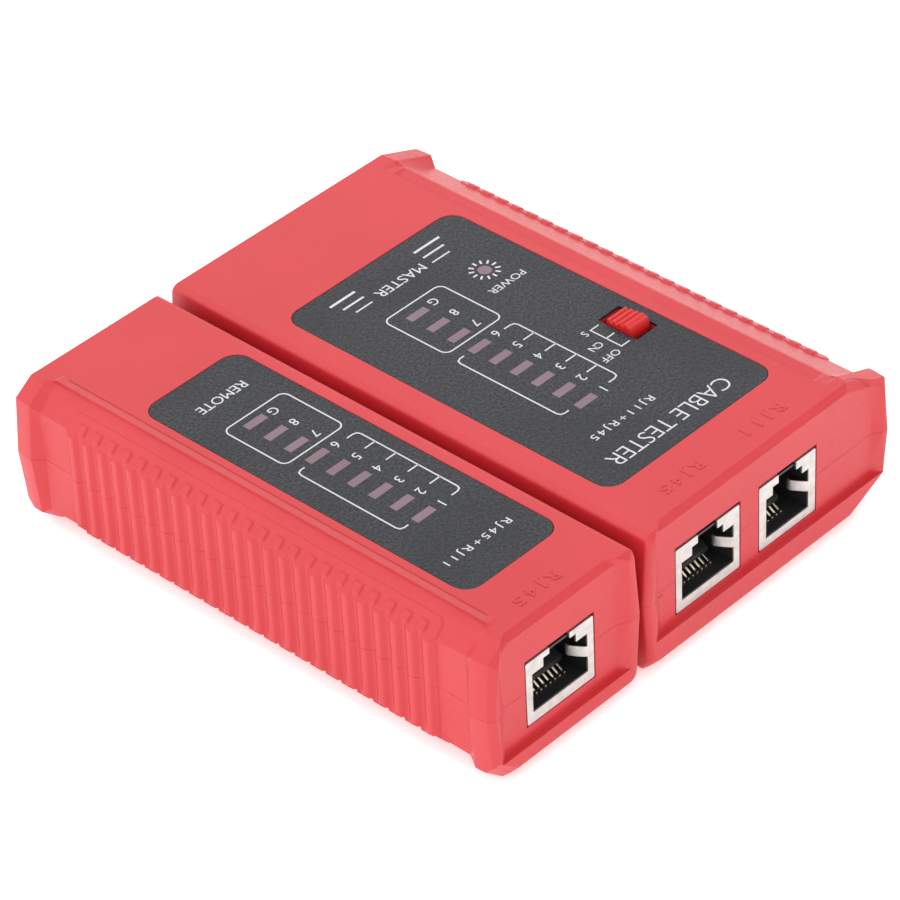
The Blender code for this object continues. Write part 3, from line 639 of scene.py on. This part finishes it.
def half_housing(name, unit, upper, shift=0.0):
    """One closed half of a housing before it is hollowed, moved back by shift."""
    reach = (HEIGHT - SPLIT_Z if upper else SPLIT_Z) - SPLIT_GAP / 2
    bevel = (FRONT_BEVEL, FRONT_BEVEL) if upper else (BOTTOM_BEVEL, BOTTOM_BEVEL_DEPTH)
    builder = bmesh.new()
    rings = []
    for y in stations():
        section = half_profile(unit, y, reach, *bevel, upper)
        rings.append([builder.verts.new(unit.place(u, y + shift, HEIGHT - depth if upper else depth))
                      for u, depth in section])
    skin(builder, rings)
    return new_piece(name, builder)


def panel_pocket(unit, upper):
    """What is cut from the front so that the jack panel lies back, its top bevel following the roof."""
    reach = PANEL_DEPTH + FRONT_BEVEL + 0.5
    side = [(-1.0, unit.sill), (0.0, unit.sill), (PANEL_DEPTH, unit.sill + 0.1), (PANEL_DEPTH, HEIGHT),
            (-1.0, HEIGHT)]
    if upper:
        side = rectangle((-1.0, SPLIT_Z - 1.0), (reach, HEIGHT + 1.0))
    low_u, high_u = unit.panel
    mouth = PANEL_SLANT * (1.0 + 1.0 / PANEL_DEPTH)
    narrowing = PANEL_SLANT * (reach + 1.0 - PANEL_DEPTH) / PANEL_DEPTH
    plan = [(low_u - mouth, -1.0), (high_u + mouth, -1.0), (high_u - narrowing, reach + 1.0),
            (low_u + narrowing, reach + 1.0)]
    ends = sorted((unit.x(low_u - BIG), unit.x(high_u + BIG)))
    pocket = prism("pocket", [(y - LENGTH / 2, z) for y, z in side], "x", *ends)
    upright = prism("pocket.plan", [unit.place(u, y, 0)[:2] for u, y in plan], "z", -1.0, HEIGHT + BIG)
    boolean(pocket, [upright], "INTERSECT")
    if upper:
        boolean(pocket, [half_housing("pocket.roof", unit, upper, PANEL_DEPTH)])
    return pocket


def cavity(unit, upper):
    """The inside of a half housing."""
    side = unit.width - GRIP_WALL
    low_z, high_z = (SPLIT_Z - 1.0, HEIGHT - WALL) if upper else (WALL, SPLIT_Z + 1.0)
    facet = unit.width - unit.bumper[0][0]
    roof, floor = (high_z, low_z) if upper else (low_z, high_z)
    fall = -CAVITY_FALL if upper else CAVITY_FALL
    outline = [(unit.x(u), z) for u, z in (
        (SIDE_DRAFT + WALL, roof), (side - facet, roof), (side - SIDE_DRAFT, roof + fall),
        (side, floor), (WALL, floor))]
    return prism("cavity", outline, "y", FRONT_WALL - LENGTH / 2, LENGTH / 2 - WALL)


def middle(node):
    """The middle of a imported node, in millimetres."""
    low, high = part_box(node)
    return (low + high) / (2 * MM)


def label_bed(unit):
    """The recess that a label lies in."""
    low, high = box_of(f"{unit.name}_label")
    outline = rounded_rectangle((low.x - LABEL_LIP, low.y - LABEL_LIP),
                                (high.x + LABEL_LIP, high.y + LABEL_LIP), LABEL_CORNER + LABEL_LIP)
    return prism("bed", outline, "z", HEIGHT - LABEL_RECESS, HEIGHT + 1.0)


def around(spot, size):
    """The low and high corners of a rectangle of a given size round a spot."""
    across, along = (side / 2 for side in size)
    return (spot.x - across, spot.y - along), (spot.x + across, spot.y + along)


def led_windows(unit, low_z, high_z):
    """A mesh of the windows over a unit's LEDs, between two heights."""
    builder = bmesh.new()
    for name in sorted(name for name in frame["nodes"] if name.startswith(f"{unit.name}_led_")):
        add_prism(builder, rectangle(*around(middle(name), WINDOW_SIZE)), "z", low_z, high_z)
    if unit is MASTER:
        add_prism(builder, circle(middle("power_led"), POWER_WINDOW_RADIUS), "z", low_z, high_z)
    return builder


def roof_holes(unit):
    """The holes over the LEDs and, in the master, round the switch, through roof and label alike."""
    low_z, high_z = HEIGHT - 2 * WALL, HEIGHT + 1.0
    builder = led_windows(unit, low_z, high_z)
    if unit is MASTER:
        slot = rounded_rectangle(*around(middle("power_switch_body"), SLOT_SIZE), SLOT_CORNER, 4)
        add_prism(builder, slot, "z", low_z, high_z)
    return new_piece("holes", builder)


def jack_windows(unit):
    """The holes in the front wall round the jacks, open a little above each shield."""
    builder = bmesh.new()
    for name, (owner, _, _, top, _) in JACKS.items():
        if owner == unit.name:
            low, high = box_of(f"{name}_shield")
            outline = rectangle((low.x - WINDOW_SIDE_GAP, WINDOW_BOTTOM),
                                (high.x + WINDOW_SIDE_GAP, top + WINDOW_HEADROOM))
            add_prism(builder, outline, "y", -1.0 - LENGTH / 2, FRONT_WALL + 1.0 - LENGTH / 2)
    return new_piece("jack windows", builder)


def screw_posts(unit, upper):
    """The posts that the screws run in, and their bores, as two meshes."""
    post = [(BOSS_RADIUS, SPLIT_Z + SPLIT_GAP), (BOSS_RADIUS, HEIGHT - WALL / 2)]
    bore = [(SCREW_HOLE, SPLIT_Z - 1.0), (SCREW_HOLE, SCREW_HOLE_TOP)]
    if not upper:
        seat = HEAD_SEAT_Z + HEAD_SEAT
        post = [(HEAD_SLEEVE, WALL / 2), (HEAD_SLEEVE, seat), (BOSS_RADIUS, seat),
                (BOSS_RADIUS, SPLIT_Z - SPLIT_GAP)]
        bore = [(HEAD_BORE, -1.0), (HEAD_BORE, HEAD_SEAT_Z), (SCREW_HOLE, HEAD_SEAT_Z),
                (SCREW_HOLE, SPLIT_Z + 1.0)]
    nodes = [name for name in frame["nodes"] if name.startswith(f"{unit.name}_screw")]
    meshes = []
    for name, profile in (("posts", post), ("bores", bore)):
        builder = bmesh.new()
        for node in nodes:
            add_turned(builder, middle(node), profile)
        meshes.append(new_piece(name, builder))
    return meshes


def rail_outline(clearance):
    """The rail's T section, measured from the master's docking side."""
    neck = RAIL_NECK / 2 + clearance
    head = RAIL_HEAD / 2 + clearance
    inner = RAIL_HEAD_U - clearance
    outer = RAIL_REACH + clearance
    return [(MASTER.x(u), z) for u, z in (
        (-RAIL_FOOT, RAIL_Z - neck), (inner, RAIL_Z - neck), (inner, RAIL_Z - head), (outer, RAIL_Z - head),
        (outer, RAIL_Z + head), (inner, RAIL_Z + head), (inner, RAIL_Z + neck),
        (-RAIL_FOOT, RAIL_Z + neck))]


def door_outline(clearance):
    """The battery door's stepped section: a flush plate with a tongue along each side."""
    x = middle("battery_door").x
    half = DOOR_HALF_WIDTH + clearance
    lip = half + DOOR_LIP
    low = -BIG * clearance
    return [(x - half, low), (x + half, low), (x + half, DOOR_LIP_Z - clearance),
            (x + lip, DOOR_LIP_Z - clearance), (x + lip, DOOR_TOP_Z + clearance),
            (x - lip, DOOR_TOP_Z + clearance), (x - lip, DOOR_LIP_Z - clearance),
            (x - half, DOOR_LIP_Z - clearance)]


def make_housing(unit, upper, materials):
    """One half of a housing with everything that is moulded into it."""
    half = "upper" if upper else "lower"
    node = f"{unit.name}_{half}_shell"
    shell = half_housing(f"{unit.name}_{half}_housing", unit, upper)
    boolean(shell, [panel_pocket(unit, upper)])
    boolean(shell, [cavity(unit, upper)])
    if not upper and unit is MASTER:
        channel = prism("channel", rectangle((MASTER.x(WALL / 2), RAIL_Z - RAIL_HEAD),
                                             (MASTER.x(RAIL_REACH + CHANNEL_WALL), RAIL_Z + RAIL_HEAD)),
                        "y", 1.0 - LENGTH / 2, LENGTH / 2 - 1.0)
        boolean(shell, [channel], "UNION")
    if not upper and unit is REMOTE:
        rail = prism("rail", rail_outline(0.0), "y", *(y - LENGTH / 2 for y in RAIL_ENDS))
        boolean(shell, [rail], "UNION")
    posts, bores = screw_posts(unit, upper)
    boolean(shell, [posts], "UNION")
    boolean(shell, [bores])
    boolean(shell, [jack_windows(unit)])
    if upper:
        boolean(shell, [label_bed(unit)])
        boolean(shell, [roof_holes(unit)])
    elif unit is MASTER:
        slot = prism("slot", rail_outline(RAIL_CLEARANCE), "y",
                     RAIL_ENDS[0] - RAIL_CLEARANCE - LENGTH / 2, LENGTH)
        opening = prism("door opening", door_outline(DOOR_GAP), "y",
                        DOOR_FRONT - DOOR_GAP - LENGTH / 2, LENGTH)
        x = middle("battery_door").x
        end = prism("door end", rectangle((x - DOOR_HALF_WIDTH - DOOR_GAP, -1.0),
                                          (x + DOOR_HALF_WIDTH + DOOR_GAP, DOOR_WALL_HEIGHT + DOOR_GAP)),
                    "y", LENGTH / 2 - 4.0, LENGTH)
        for cutter in (slot, opening, end):
            boolean(shell, [cutter])
    paint(shell, materials["housing_red"])
    even_normals(shell)
    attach(shell, f"{unit.name}_unit")
    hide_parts(node)


# ---------------------------------------------------------------- labels

def add_text(builder, text, first, last, cap, z, weight=0.0, rise=PRINT_RISE):
    """Adds lettering that reads towards -X, from the middle of its first letter to that of its last."""
    curve = bpy.data.curves.new("lettering", "FONT")
    curve.body = text
    curve.extrude = 0.5
    curve.offset = weight
    curve.resolution_u = 3
    lettering = bpy.data.objects.new("lettering", curve)
    bpy.context.scene.collection.objects.link(lettering)
    reach = math.dist(first, last) + 0.7 * cap

    def measured(spacing):
        curve.space_character = spacing
        bpy.context.view_layer.update()
        graph = bpy.context.evaluated_depsgraph_get()
        mesh = bpy.data.meshes.new_from_object(lettering.evaluated_get(graph), depsgraph=graph)
        xs = [vertex.co.x for vertex in mesh.vertices]
        ys = [vertex.co.y for vertex in mesh.vertices]
        return mesh, min(xs), max(xs), min(ys), max(ys)

    mesh, left, right, bottom, top = measured(1.0)
    scale = cap / (top - bottom)
    stretch = 1.0
    if len(text) > 1:
        stretch = min(max(reach / (scale * (right - left)), 1.0), LETTER_STRETCH)
        wide = measured(1.5)
        growth = (wide[2] - wide[1]) - (right - left)
        spacing = 1.0 + 0.5 * (reach / (scale * stretch) - (right - left)) / growth
        mesh, left, right, bottom, top = measured(spacing)
    count = len(builder.verts)
    builder.from_mesh(mesh)
    builder.verts.ensure_lookup_table()
    middle_x = (first[0] + last[0]) / 2
    middle_y = (first[1] + last[1]) / 2
    for vertex in builder.verts[count:]:
        x = (vertex.co.x - (left + right) / 2) * scale * stretch
        y = (vertex.co.y - (bottom + top) / 2) * scale
        vertex.co = (middle_x - x, middle_y - y, z + (rise if vertex.co.z > 0 else -rise))
    bpy.data.objects.remove(lettering)


def add_ribbon(builder, path, width, z, closed=False):
    """Adds a printed line of even width along a path, with mitred corners."""
    count = len(path)
    sides = []
    for i, point in enumerate(path):
        before = path[i - 1] if i > 0 or closed else None
        after = path[(i + 1) % count] if i < count - 1 or closed else None
        along = Vector((0.0, 0.0))
        for start, finish in ((before, point), (point, after)):
            if start and finish:
                along += (Vector(finish) - Vector(start)).normalized()
        along.normalize()
        step = Vector(after if after else point) - Vector(point if after else before)
        aside = Vector((-along.y, along.x)) * (width / 2) / max(0.5, along.dot(step.normalized()))
        sides.append((Vector(point) + aside, Vector(point) - aside))
    corners = [[[builder.verts.new((*side, z + level)) for level in (-PRINT_RISE, PRINT_RISE)]
                for side in pair] for pair in sides]
    pairs = list(zip(corners, corners[1:]))
    if closed:
        pairs.append((corners[-1], corners[0]))
    for (left, right), (next_left, next_right) in pairs:
        builder.faces.new((left[1], right[1], next_right[1], next_left[1]))
        builder.faces.new((left[0], next_left[0], next_right[0], right[0]))
        builder.faces.new((left[0], left[1], next_left[1], next_left[0]))
        builder.faces.new((right[0], next_right[0], next_right[1], right[1]))
    if not closed:
        for left, right in (corners[0], corners[-1]):
            builder.faces.new((left[0], left[1], right[1], right[0]))


class Print:
    """Print on one label, placed by u and y."""

    def __init__(self, unit):
        self.unit = unit
        self.builder = bmesh.new()
        self.z = box_of(f"{unit.name}_label")[1].z

    def spot(self, u, y):
        return self.unit.place(u, y, 0.0)[:2]

    def text(self, text, first, last, cap, weight=0.0):
        add_text(self.builder, text, self.spot(*first), self.spot(*last), cap, self.z, weight)

    def line(self, points, width=0.26, closed=False):
        add_ribbon(self.builder, [self.spot(*point) for point in points], width, self.z, closed)

    def frame(self, low, high, radius=1.3):
        self.line(rounded_rectangle(low, high, radius, 6), closed=True)

    def bracket(self, spine_u, arm_u, start, end, ticks=(), tick_u=None):
        """A bracket along y whose ends turn in, with ticks across its spine."""
        turn = 0.9 if arm_u > spine_u else -0.9
        self.line([(arm_u, start), (spine_u + turn, start), (spine_u + 0.25 * turn, start + 0.25),
                   (spine_u, start + 0.9), (spine_u, end - 0.9), (spine_u + 0.25 * turn, end - 0.25),
                   (spine_u + turn, end), (arm_u, end)])
        for y in ticks:
            self.line([(spine_u, y), (tick_u, y)])

    def finish(self, name, materials):
        piece = new_piece(name, self.builder, materials["label_ink"])
        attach(piece, f"{self.unit.name}_unit")


def make_label(unit, materials):
    """The label sheet in its bed, and the panes over the LEDs."""
    low, high = box_of(f"{unit.name}_label")
    outline = rounded_rectangle((low.x, low.y), (high.x, high.y), LABEL_CORNER)
    label = prism(f"{unit.name}_label_sheet", outline, "z", low.z, high.z)
    boolean(label, [roof_holes(unit)])
    paint(label, materials["label_film"])
    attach(label, f"{unit.name}_unit")
    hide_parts(f"{unit.name}_label")

    panes = led_windows(unit, low.z, high.z - PANE_DEPTH)
    pane = new_piece(f"{unit.name}_led_panes", panes, materials["led_lens"])
    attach(pane, f"{unit.name}_unit")


LED_MARKS = ["1", "2", "3", "4", "5", "6", "7", "8", "G"]


def print_master_label(materials):
    work = Print(MASTER)
    work.text("CABLE TESTER", (37.1, 16.3), (12.3, 16.6), 3.0, -0.012)
    work.text("RJ11+RJ45", (27.0, 22.6), (14.5, 22.7), 1.85)
    for i, mark in enumerate(LED_MARKS):
        spot = (24.4, 29.5 + i * 4.45)
        work.text(mark, spot, spot, 1.75)
    work.frame((15.45, 54.0), (28.4, 67.5))
    work.bracket(28.4, 26.1, 29.95, 51.6, (34.3, 38.6, 42.9, 47.4), 25.9)
    work.bracket(15.1, 16.9, 29.95, 51.65)
    work.text("POWER", (39.1, 59.6), (32.4, 59.9), 1.5)
    work.text("MASTER", (29.8, 73.0), (20.6, 73.0), 2.0)
    for y, width, left, right in (
            (76.55, 0.5, (12.8, 18.4), (32.05, 37.95)),
            (74.5, 0.4, (13.65, 18.3), (32.05, 36.85)),
            (72.5, 0.3, (14.5, 18.2), (32.05, 36.1))):
        work.line([(left[0], y), (left[1], y)], width)
        work.line([(right[0], y), (right[1], y)], width)
    led = middle("power_led")
    sun = (abs(led.x - MASTER.dock_x), led.y + LENGTH / 2)
    for ray in range(12):
        angle = 2 * math.pi * ray / 12
        work.line([(sun[0] + r * math.cos(angle), sun[1] + r * math.sin(angle)) for r in (1.75, 2.65)], 0.34)
    for text, first, last in (("S", (33.1, 41.0), (33.1, 41.0)), ("ON", (32.5, 37.4), (31.0, 37.6)),
                              ("OFF", (32.8, 34.3), (30.1, 34.1))):
        work.text(text, first, last, 1.45)
    work.line([(36.3, 41.0), (34.4, 41.0), (34.4, 34.6), (36.3, 34.6)], 0.24)
    work.line([(34.4, 37.75), (36.3, 37.75)], 0.24)
    work.finish("master_label_print", materials)


def print_remote_label(materials):
    work = Print(REMOTE)
    work.text("RJ45+RJ11", (8.3, 19.3), (20.8, 19.3), 1.85)
    for i, mark in enumerate(LED_MARKS):
        spot = (11.3, 29.3 + i * 4.4)
        work.text(mark, spot, spot, 1.75)
    work.frame((6.9, 53.6), (19.9, 66.8))
    work.bracket(6.85, 9.05, 29.5, 51.1, (33.9, 38.4, 42.9, 47.3), 9.1)
    work.bracket(20.0, 18.3, 29.6, 51.0)
    work.text("REMOTE", (9.7, 72.95), (18.3, 73.0), 1.9)
    work.finish("remote_label_print", materials)


def emboss_jack_marks(materials):
    """Low lettering moulded in the roof in front of each label."""
    for unit, node, text, y in ((MASTER, "master_rj45", "RJ45", 6.4), (MASTER, "master_rj11", "RJ11", 6.2),
                                (REMOTE, "remote_rj45", "RJ45", 5.6)):
        builder = bmesh.new()
        x = middle(f"{node}_shield").x
        add_text(builder, text, (x + MARK_REACH, y - LENGTH / 2), (x - MARK_REACH, y - LENGTH / 2),
                 MARK_HEIGHT, HEIGHT, 0.02, MARK_RISE)
        mark = new_piece(f"{node}_mark", builder, materials["housing_red"])
        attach(mark, f"{unit.name}_unit")


# ---------------------------------------------------------------- jacks and switch

def opening_outline(x, halves, floor, roof, grow=0.0):
    """The plug opening seen from the front: a wide main part and two steps for the latch."""
    main, step, latch = [half + grow for half in halves]
    low = floor - grow
    shoulder = OPENING_SHOULDER + grow
    ledge = OPENING_LEDGE + grow
    return [(x - main, low), (x + main, low), (x + main, shoulder), (x + step, shoulder),
            (x + step, ledge), (x + latch, ledge), (x + latch, roof), (x - latch, roof),
            (x - latch, ledge), (x - step, ledge), (x - step, shoulder), (x - main, shoulder)]


def strip_outline(path, half):
    """The outline of a strip along a path, half as thick to each side."""
    outline = []
    back = []
    for i, point in enumerate(path):
        along = (path[min(i + 1, len(path) - 1)] - path[max(i - 1, 0)]).normalized()
        aside = Vector((-along.y, along.x)) * half
        outline.append(tuple(point + aside))
        back.append(tuple(point - aside))
    return outline + back[::-1]


def smooth_route(points, steps):
    """Catmull-Rom points through the given ones."""
    points = [Vector(point) for point in points]
    padded = [2 * points[0] - points[1]] + points + [2 * points[-1] - points[-2]]
    route = []
    for i in range(1, len(padded) - 2):
        p0, p1, p2, p3 = padded[i - 1:i + 3]
        for step in range(steps):
            t = step / steps
            route.append(0.5 * (2 * p1 + (p2 - p0) * t + (2 * p0 - 5 * p1 + 4 * p2 - p3) * t ** 2
                                + (3 * p1 - p0 - 3 * p2 + p3) * t ** 3))
    return route + [points[-1]]


def make_jack(name, materials):
    """The folded shield with its spring tabs, the black insert and the row of spring contacts."""
    owner, halves, floor, top, ways = JACKS[name]
    low, high = box_of(f"{name}_shield")
    x = (low.x + high.x) / 2
    front, back = low.y, high.y

    def side_view(points):
        return [(front + inward, floor + rise) for inward, rise in points]

    outline = rounded_rectangle((low.x, SHIELD_BOTTOM), (high.x, top), 0.3, 3)
    shield = prism(f"{name}_shield_case", outline, "y", front, back, materials["shield_metal"])
    hollow = rectangle((low.x + SHEET, SHIELD_BOTTOM + SHEET), (high.x - SHEET, top - SHEET))
    opening = opening_outline(x, halves, floor, top + 1.0)
    boolean(shield, [prism("inside", hollow, "y", front + SHEET, back + 1.0)])
    boolean(shield, [prism("opening", opening, "y", front - 1.0, front + 1.6)])
    soften(shield, 0.07, 2)
    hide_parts(f"{name}_shield")
    tabs = bmesh.new()
    for side in (-1, 1):
        route = [(x + side * (halves[0] + aside), front + inward) for aside, inward in TAB_ROUTE]
        add_prism(tabs, strip_outline(smooth_route(route, 5), TAB_THICKNESS / 2), "z", TAB_BOTTOM, TAB_TOP)
    spring = new_piece(f"{name}_spring_tabs", tabs, materials["shield_metal"])

    inset = SHEET + 0.1
    block = rectangle((low.x + inset, SHIELD_BOTTOM + inset), (high.x - inset, top - inset))
    insert = prism(f"{name}_insert_block", block, "y", front + inset, back - 0.2, materials["jack_plastic"])
    opening = opening_outline(x, halves, floor, top - 0.9, 0.12)
    boolean(insert, [prism("opening", opening, "y", front - 1.0, front + PLUG_DEPTH)])
    comb = bmesh.new()
    reach = (ways - 1) * CONTACT_PITCH / 2
    for way in range(ways + 1):
        across = x - reach + (way - 0.5) * CONTACT_PITCH
        add_prism(comb, side_view(COMB_PROFILE), "x", across - COMB_TOOTH / 2, across + COMB_TOOTH / 2)
    boolean(insert, [new_piece("comb", comb)], "UNION")
    half = reach + CONTACT_PITCH
    boolean(insert, [prism("cover", side_view(COVER_PROFILE), "x", x - half, x + half)], "UNION")
    soften(insert, 0.06, 1)
    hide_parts(f"{name}_insert")

    wires = bmesh.new()
    wire = strip_outline(smooth_route(side_view(CONTACT_ROUTE), 3), WIRE_HALF_HEIGHT)
    for way in range(ways):
        across = x - reach + way * CONTACT_PITCH
        add_prism(wires, wire, "x", across - WIRE_HALF_WIDTH, across + WIRE_HALF_WIDTH)
    contacts = new_piece(f"{name}_contact_wires", wires, materials["contact_gold"])
    soften(contacts, 0.07, 2)
    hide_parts(f"{name}_contacts")

    for piece, slot in ((shield, "shield_metal"), (spring, "shield_metal"), (insert, "jack_plastic"),
                        (contacts, "contact_gold")):
        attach(piece, f"{owner}_unit")


def make_knob(materials):
    """The switch knob: a sloped front, and ridges across the top that climb towards it."""
    low, high = box_of("power_switch_knob")
    x = (low.x + high.x) / 2
    y = (low.y + high.y) / 2
    skirt = HEIGHT - WALL + 0.4
    profile = [(KNOB_FRONT + 0.15, skirt), (KNOB_BACK, skirt)]
    for ridge in range(KNOB_RIDGES):
        crest = KNOB_TOP - (KNOB_RIDGES - 1 - ridge) * RIDGE_RISE
        back = KNOB_BACK - ridge * RIDGE_PITCH
        profile += [(back, crest - 0.55), (back - 0.12, crest - 0.14), (back - 0.34, crest),
                    (back - 0.6, crest - 0.06), (back - 0.86, crest - 0.42)]
    last = KNOB_BACK - KNOB_RIDGES * RIDGE_PITCH
    profile += [(last + 0.1, KNOB_TOP - 0.3), (last - 0.2, KNOB_TOP - 0.28),
                (KNOB_FRONT + 0.3, KNOB_TOP - 0.7), (KNOB_FRONT, KNOB_TOP - 1.5)]
    knob = prism("power_switch_button", [(y + back, z) for back, z in profile], "x", x - KNOB_HALF_WIDTH,
                 x + KNOB_HALF_WIDTH, materials["knob_red"])
    stem = prism("stem", rectangle((x - 0.9, y - 1.0), (x + 0.9, y + 1.0)), "z", low.z, skirt + 1.0)
    boolean(knob, [stem], "UNION")
    soften(knob, 0.16, 3, 50.0)
    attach(knob, "switch_knob")
    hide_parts("power_switch_knob")


# ---------------------------------------------------------------- battery door

def make_door(materials):
    """The battery door, with grip lines and an arrow sunk in its outer face."""
    low, high = box_of("battery_door")
    x = (low.x + high.x) / 2
    outline = [(a, max(b, 0.0)) for a, b in door_outline(0.0)]
    door = prism("battery_door_cover", outline, "y", low.y, high.y)
    end = prism("end", rectangle((x - DOOR_HALF_WIDTH, 0.0), (x + DOOR_HALF_WIDTH, DOOR_WALL_HEIGHT)), "y",
                high.y - DOOR_WALL, high.y)
    boolean(door, [end], "UNION")
    chin = [(high.y + 1.0, -1.0), (high.y + 1.0, BOTTOM_BEVEL), (high.y, BOTTOM_BEVEL),
            (high.y - BOTTOM_BEVEL_DEPTH, 0.0), (high.y - BOTTOM_BEVEL_DEPTH, -1.0)]
    boolean(door, [prism("chin", chin, "x", x - 2 * DOOR_HALF_WIDTH, x + 2 * DOOR_HALF_WIDTH)])
    marks = bmesh.new()
    for line in range(DOOR_GRIP_LINES):
        y = low.y + 6.0 + line * 1.7
        half = 8.0 - 0.16 * (line - 3) ** 2
        groove = rounded_rectangle((x - half, y - 0.4), (x + half, y + 0.4), 0.39, 4)
        add_prism(marks, groove, "z", -1.0, 0.4)
    tip = low.y + 25.0
    add_prism(marks, [(x - 3.2, tip - 4.2), (x - 1.1, tip - 4.2), (x - 1.1, tip - 7.0), (x + 1.1, tip - 7.0),
                      (x + 1.1, tip - 4.2), (x + 3.2, tip - 4.2), (x, tip)], "z", -1.0, 0.3)
    boolean(door, [new_piece("marks", marks)])
    paint(door, materials["housing_red"])
    even_normals(door)
    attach(door, "battery_cover")
    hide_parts("battery_door")


def main():
    materials = make_materials()
    for node, piece in frame["nodes"].items():
        slot = next(part["material_slot"] for part in frame["record"]["subparts"] if part["node"] == node)
        paint(piece, materials[slot])
    for unit in UNITS:
        make_housing(unit, True, materials)
        make_housing(unit, False, materials)
        make_label(unit, materials)
    print_master_label(materials)
    print_remote_label(materials)
    emboss_jack_marks(materials)
    for name in JACKS:
        make_jack(name, materials)
    make_knob(materials)
    make_door(materials)
    set_camera()
    set_stage()


def set_camera():
    """The photograph's view, from the solved camera."""
    azimuth = math.radians(CAMERA_AZIMUTH)
    elevation = math.radians(CAMERA_ELEVATION)
    roll = math.radians(CAMERA_ROLL)
    target = Vector(CAMERA_TARGET) * MM
    back = Vector((math.sin(azimuth) * math.cos(elevation), -math.cos(azimuth) * math.cos(elevation),
                   math.sin(elevation)))
    right = Vector((math.cos(azimuth), math.sin(azimuth), 0.0))
    up = back.cross(right)
    right_rolled = right * math.cos(roll) + up * math.sin(roll)
    up_rolled = up * math.cos(roll) - right * math.sin(roll)
    camera = bpy.data.objects.new("camera", bpy.data.cameras.new("camera"))
    bpy.context.scene.collection.objects.link(camera)
    camera.matrix_world = Matrix.Translation(target + back * CAMERA_DISTANCE * MM) @ Matrix(
        (right_rolled, up_rolled, back)).transposed().to_4x4()
    camera.data.lens = CAMERA_LENS
    camera.data.sensor_width = 36.0
    camera.data.clip_start = 0.01
    camera.data.clip_end = 20.0
    bpy.context.scene.camera = camera


def set_stage():
    """A pale glowing floor, and a pale world that is the only other light."""
    builder = bmesh.new()
    add_prism(builder, rectangle((-3000, -3000), (3000, 3000)), "z", -2.0, 0.0)
    paper = Shader("floor_paper", (0.93, 0.93, 0.93), 0.6)
    paper.set("Emission Color", (1.0, 1.0, 1.0, 1.0))
    paper.set("Emission Strength", TABLE_GLOW)
    floor = new_piece("floor", builder, paper.material)
    bpy.context.scene.view_settings.view_transform = "Standard"
    world = bpy.data.worlds.new("world")
    bpy.context.scene.world = world
    world.use_nodes = True
    tree = world.node_tree
    tree.nodes["Background"].inputs["Color"].default_value = (1.0, 1.0, 1.0, 1.0)
    place = tree.nodes.new("ShaderNodeTexCoord").outputs["Generated"]
    light = tree.nodes.new("ShaderNodeValue").outputs[0]
    light.default_value = 0.0
    patches = [((0.0, 1.0, 0.0), -0.8, 0.5, FRONT_LIGHT, BACK_LIGHT),
               (SHADE[0], 0.75, 0.95, 0.0, -SHADE[1]), (GLOW[0], 0.7, 0.95, 0.0, GLOW[1])]
    for direction, *limits in patches:
        towards = add_node(tree, "ShaderNodeVectorMath", {0: place, 1: direction}, operation="DOT_PRODUCT")
        fade = map_range(tree, towards.outputs["Value"], limits, interpolation_type="SMOOTHSTEP")
        light = add_node(tree, "ShaderNodeMath", {0: light, 1: fade}).outputs[0]
    tree.links.new(light, tree.nodes["Background"].inputs["Strength"])


main()
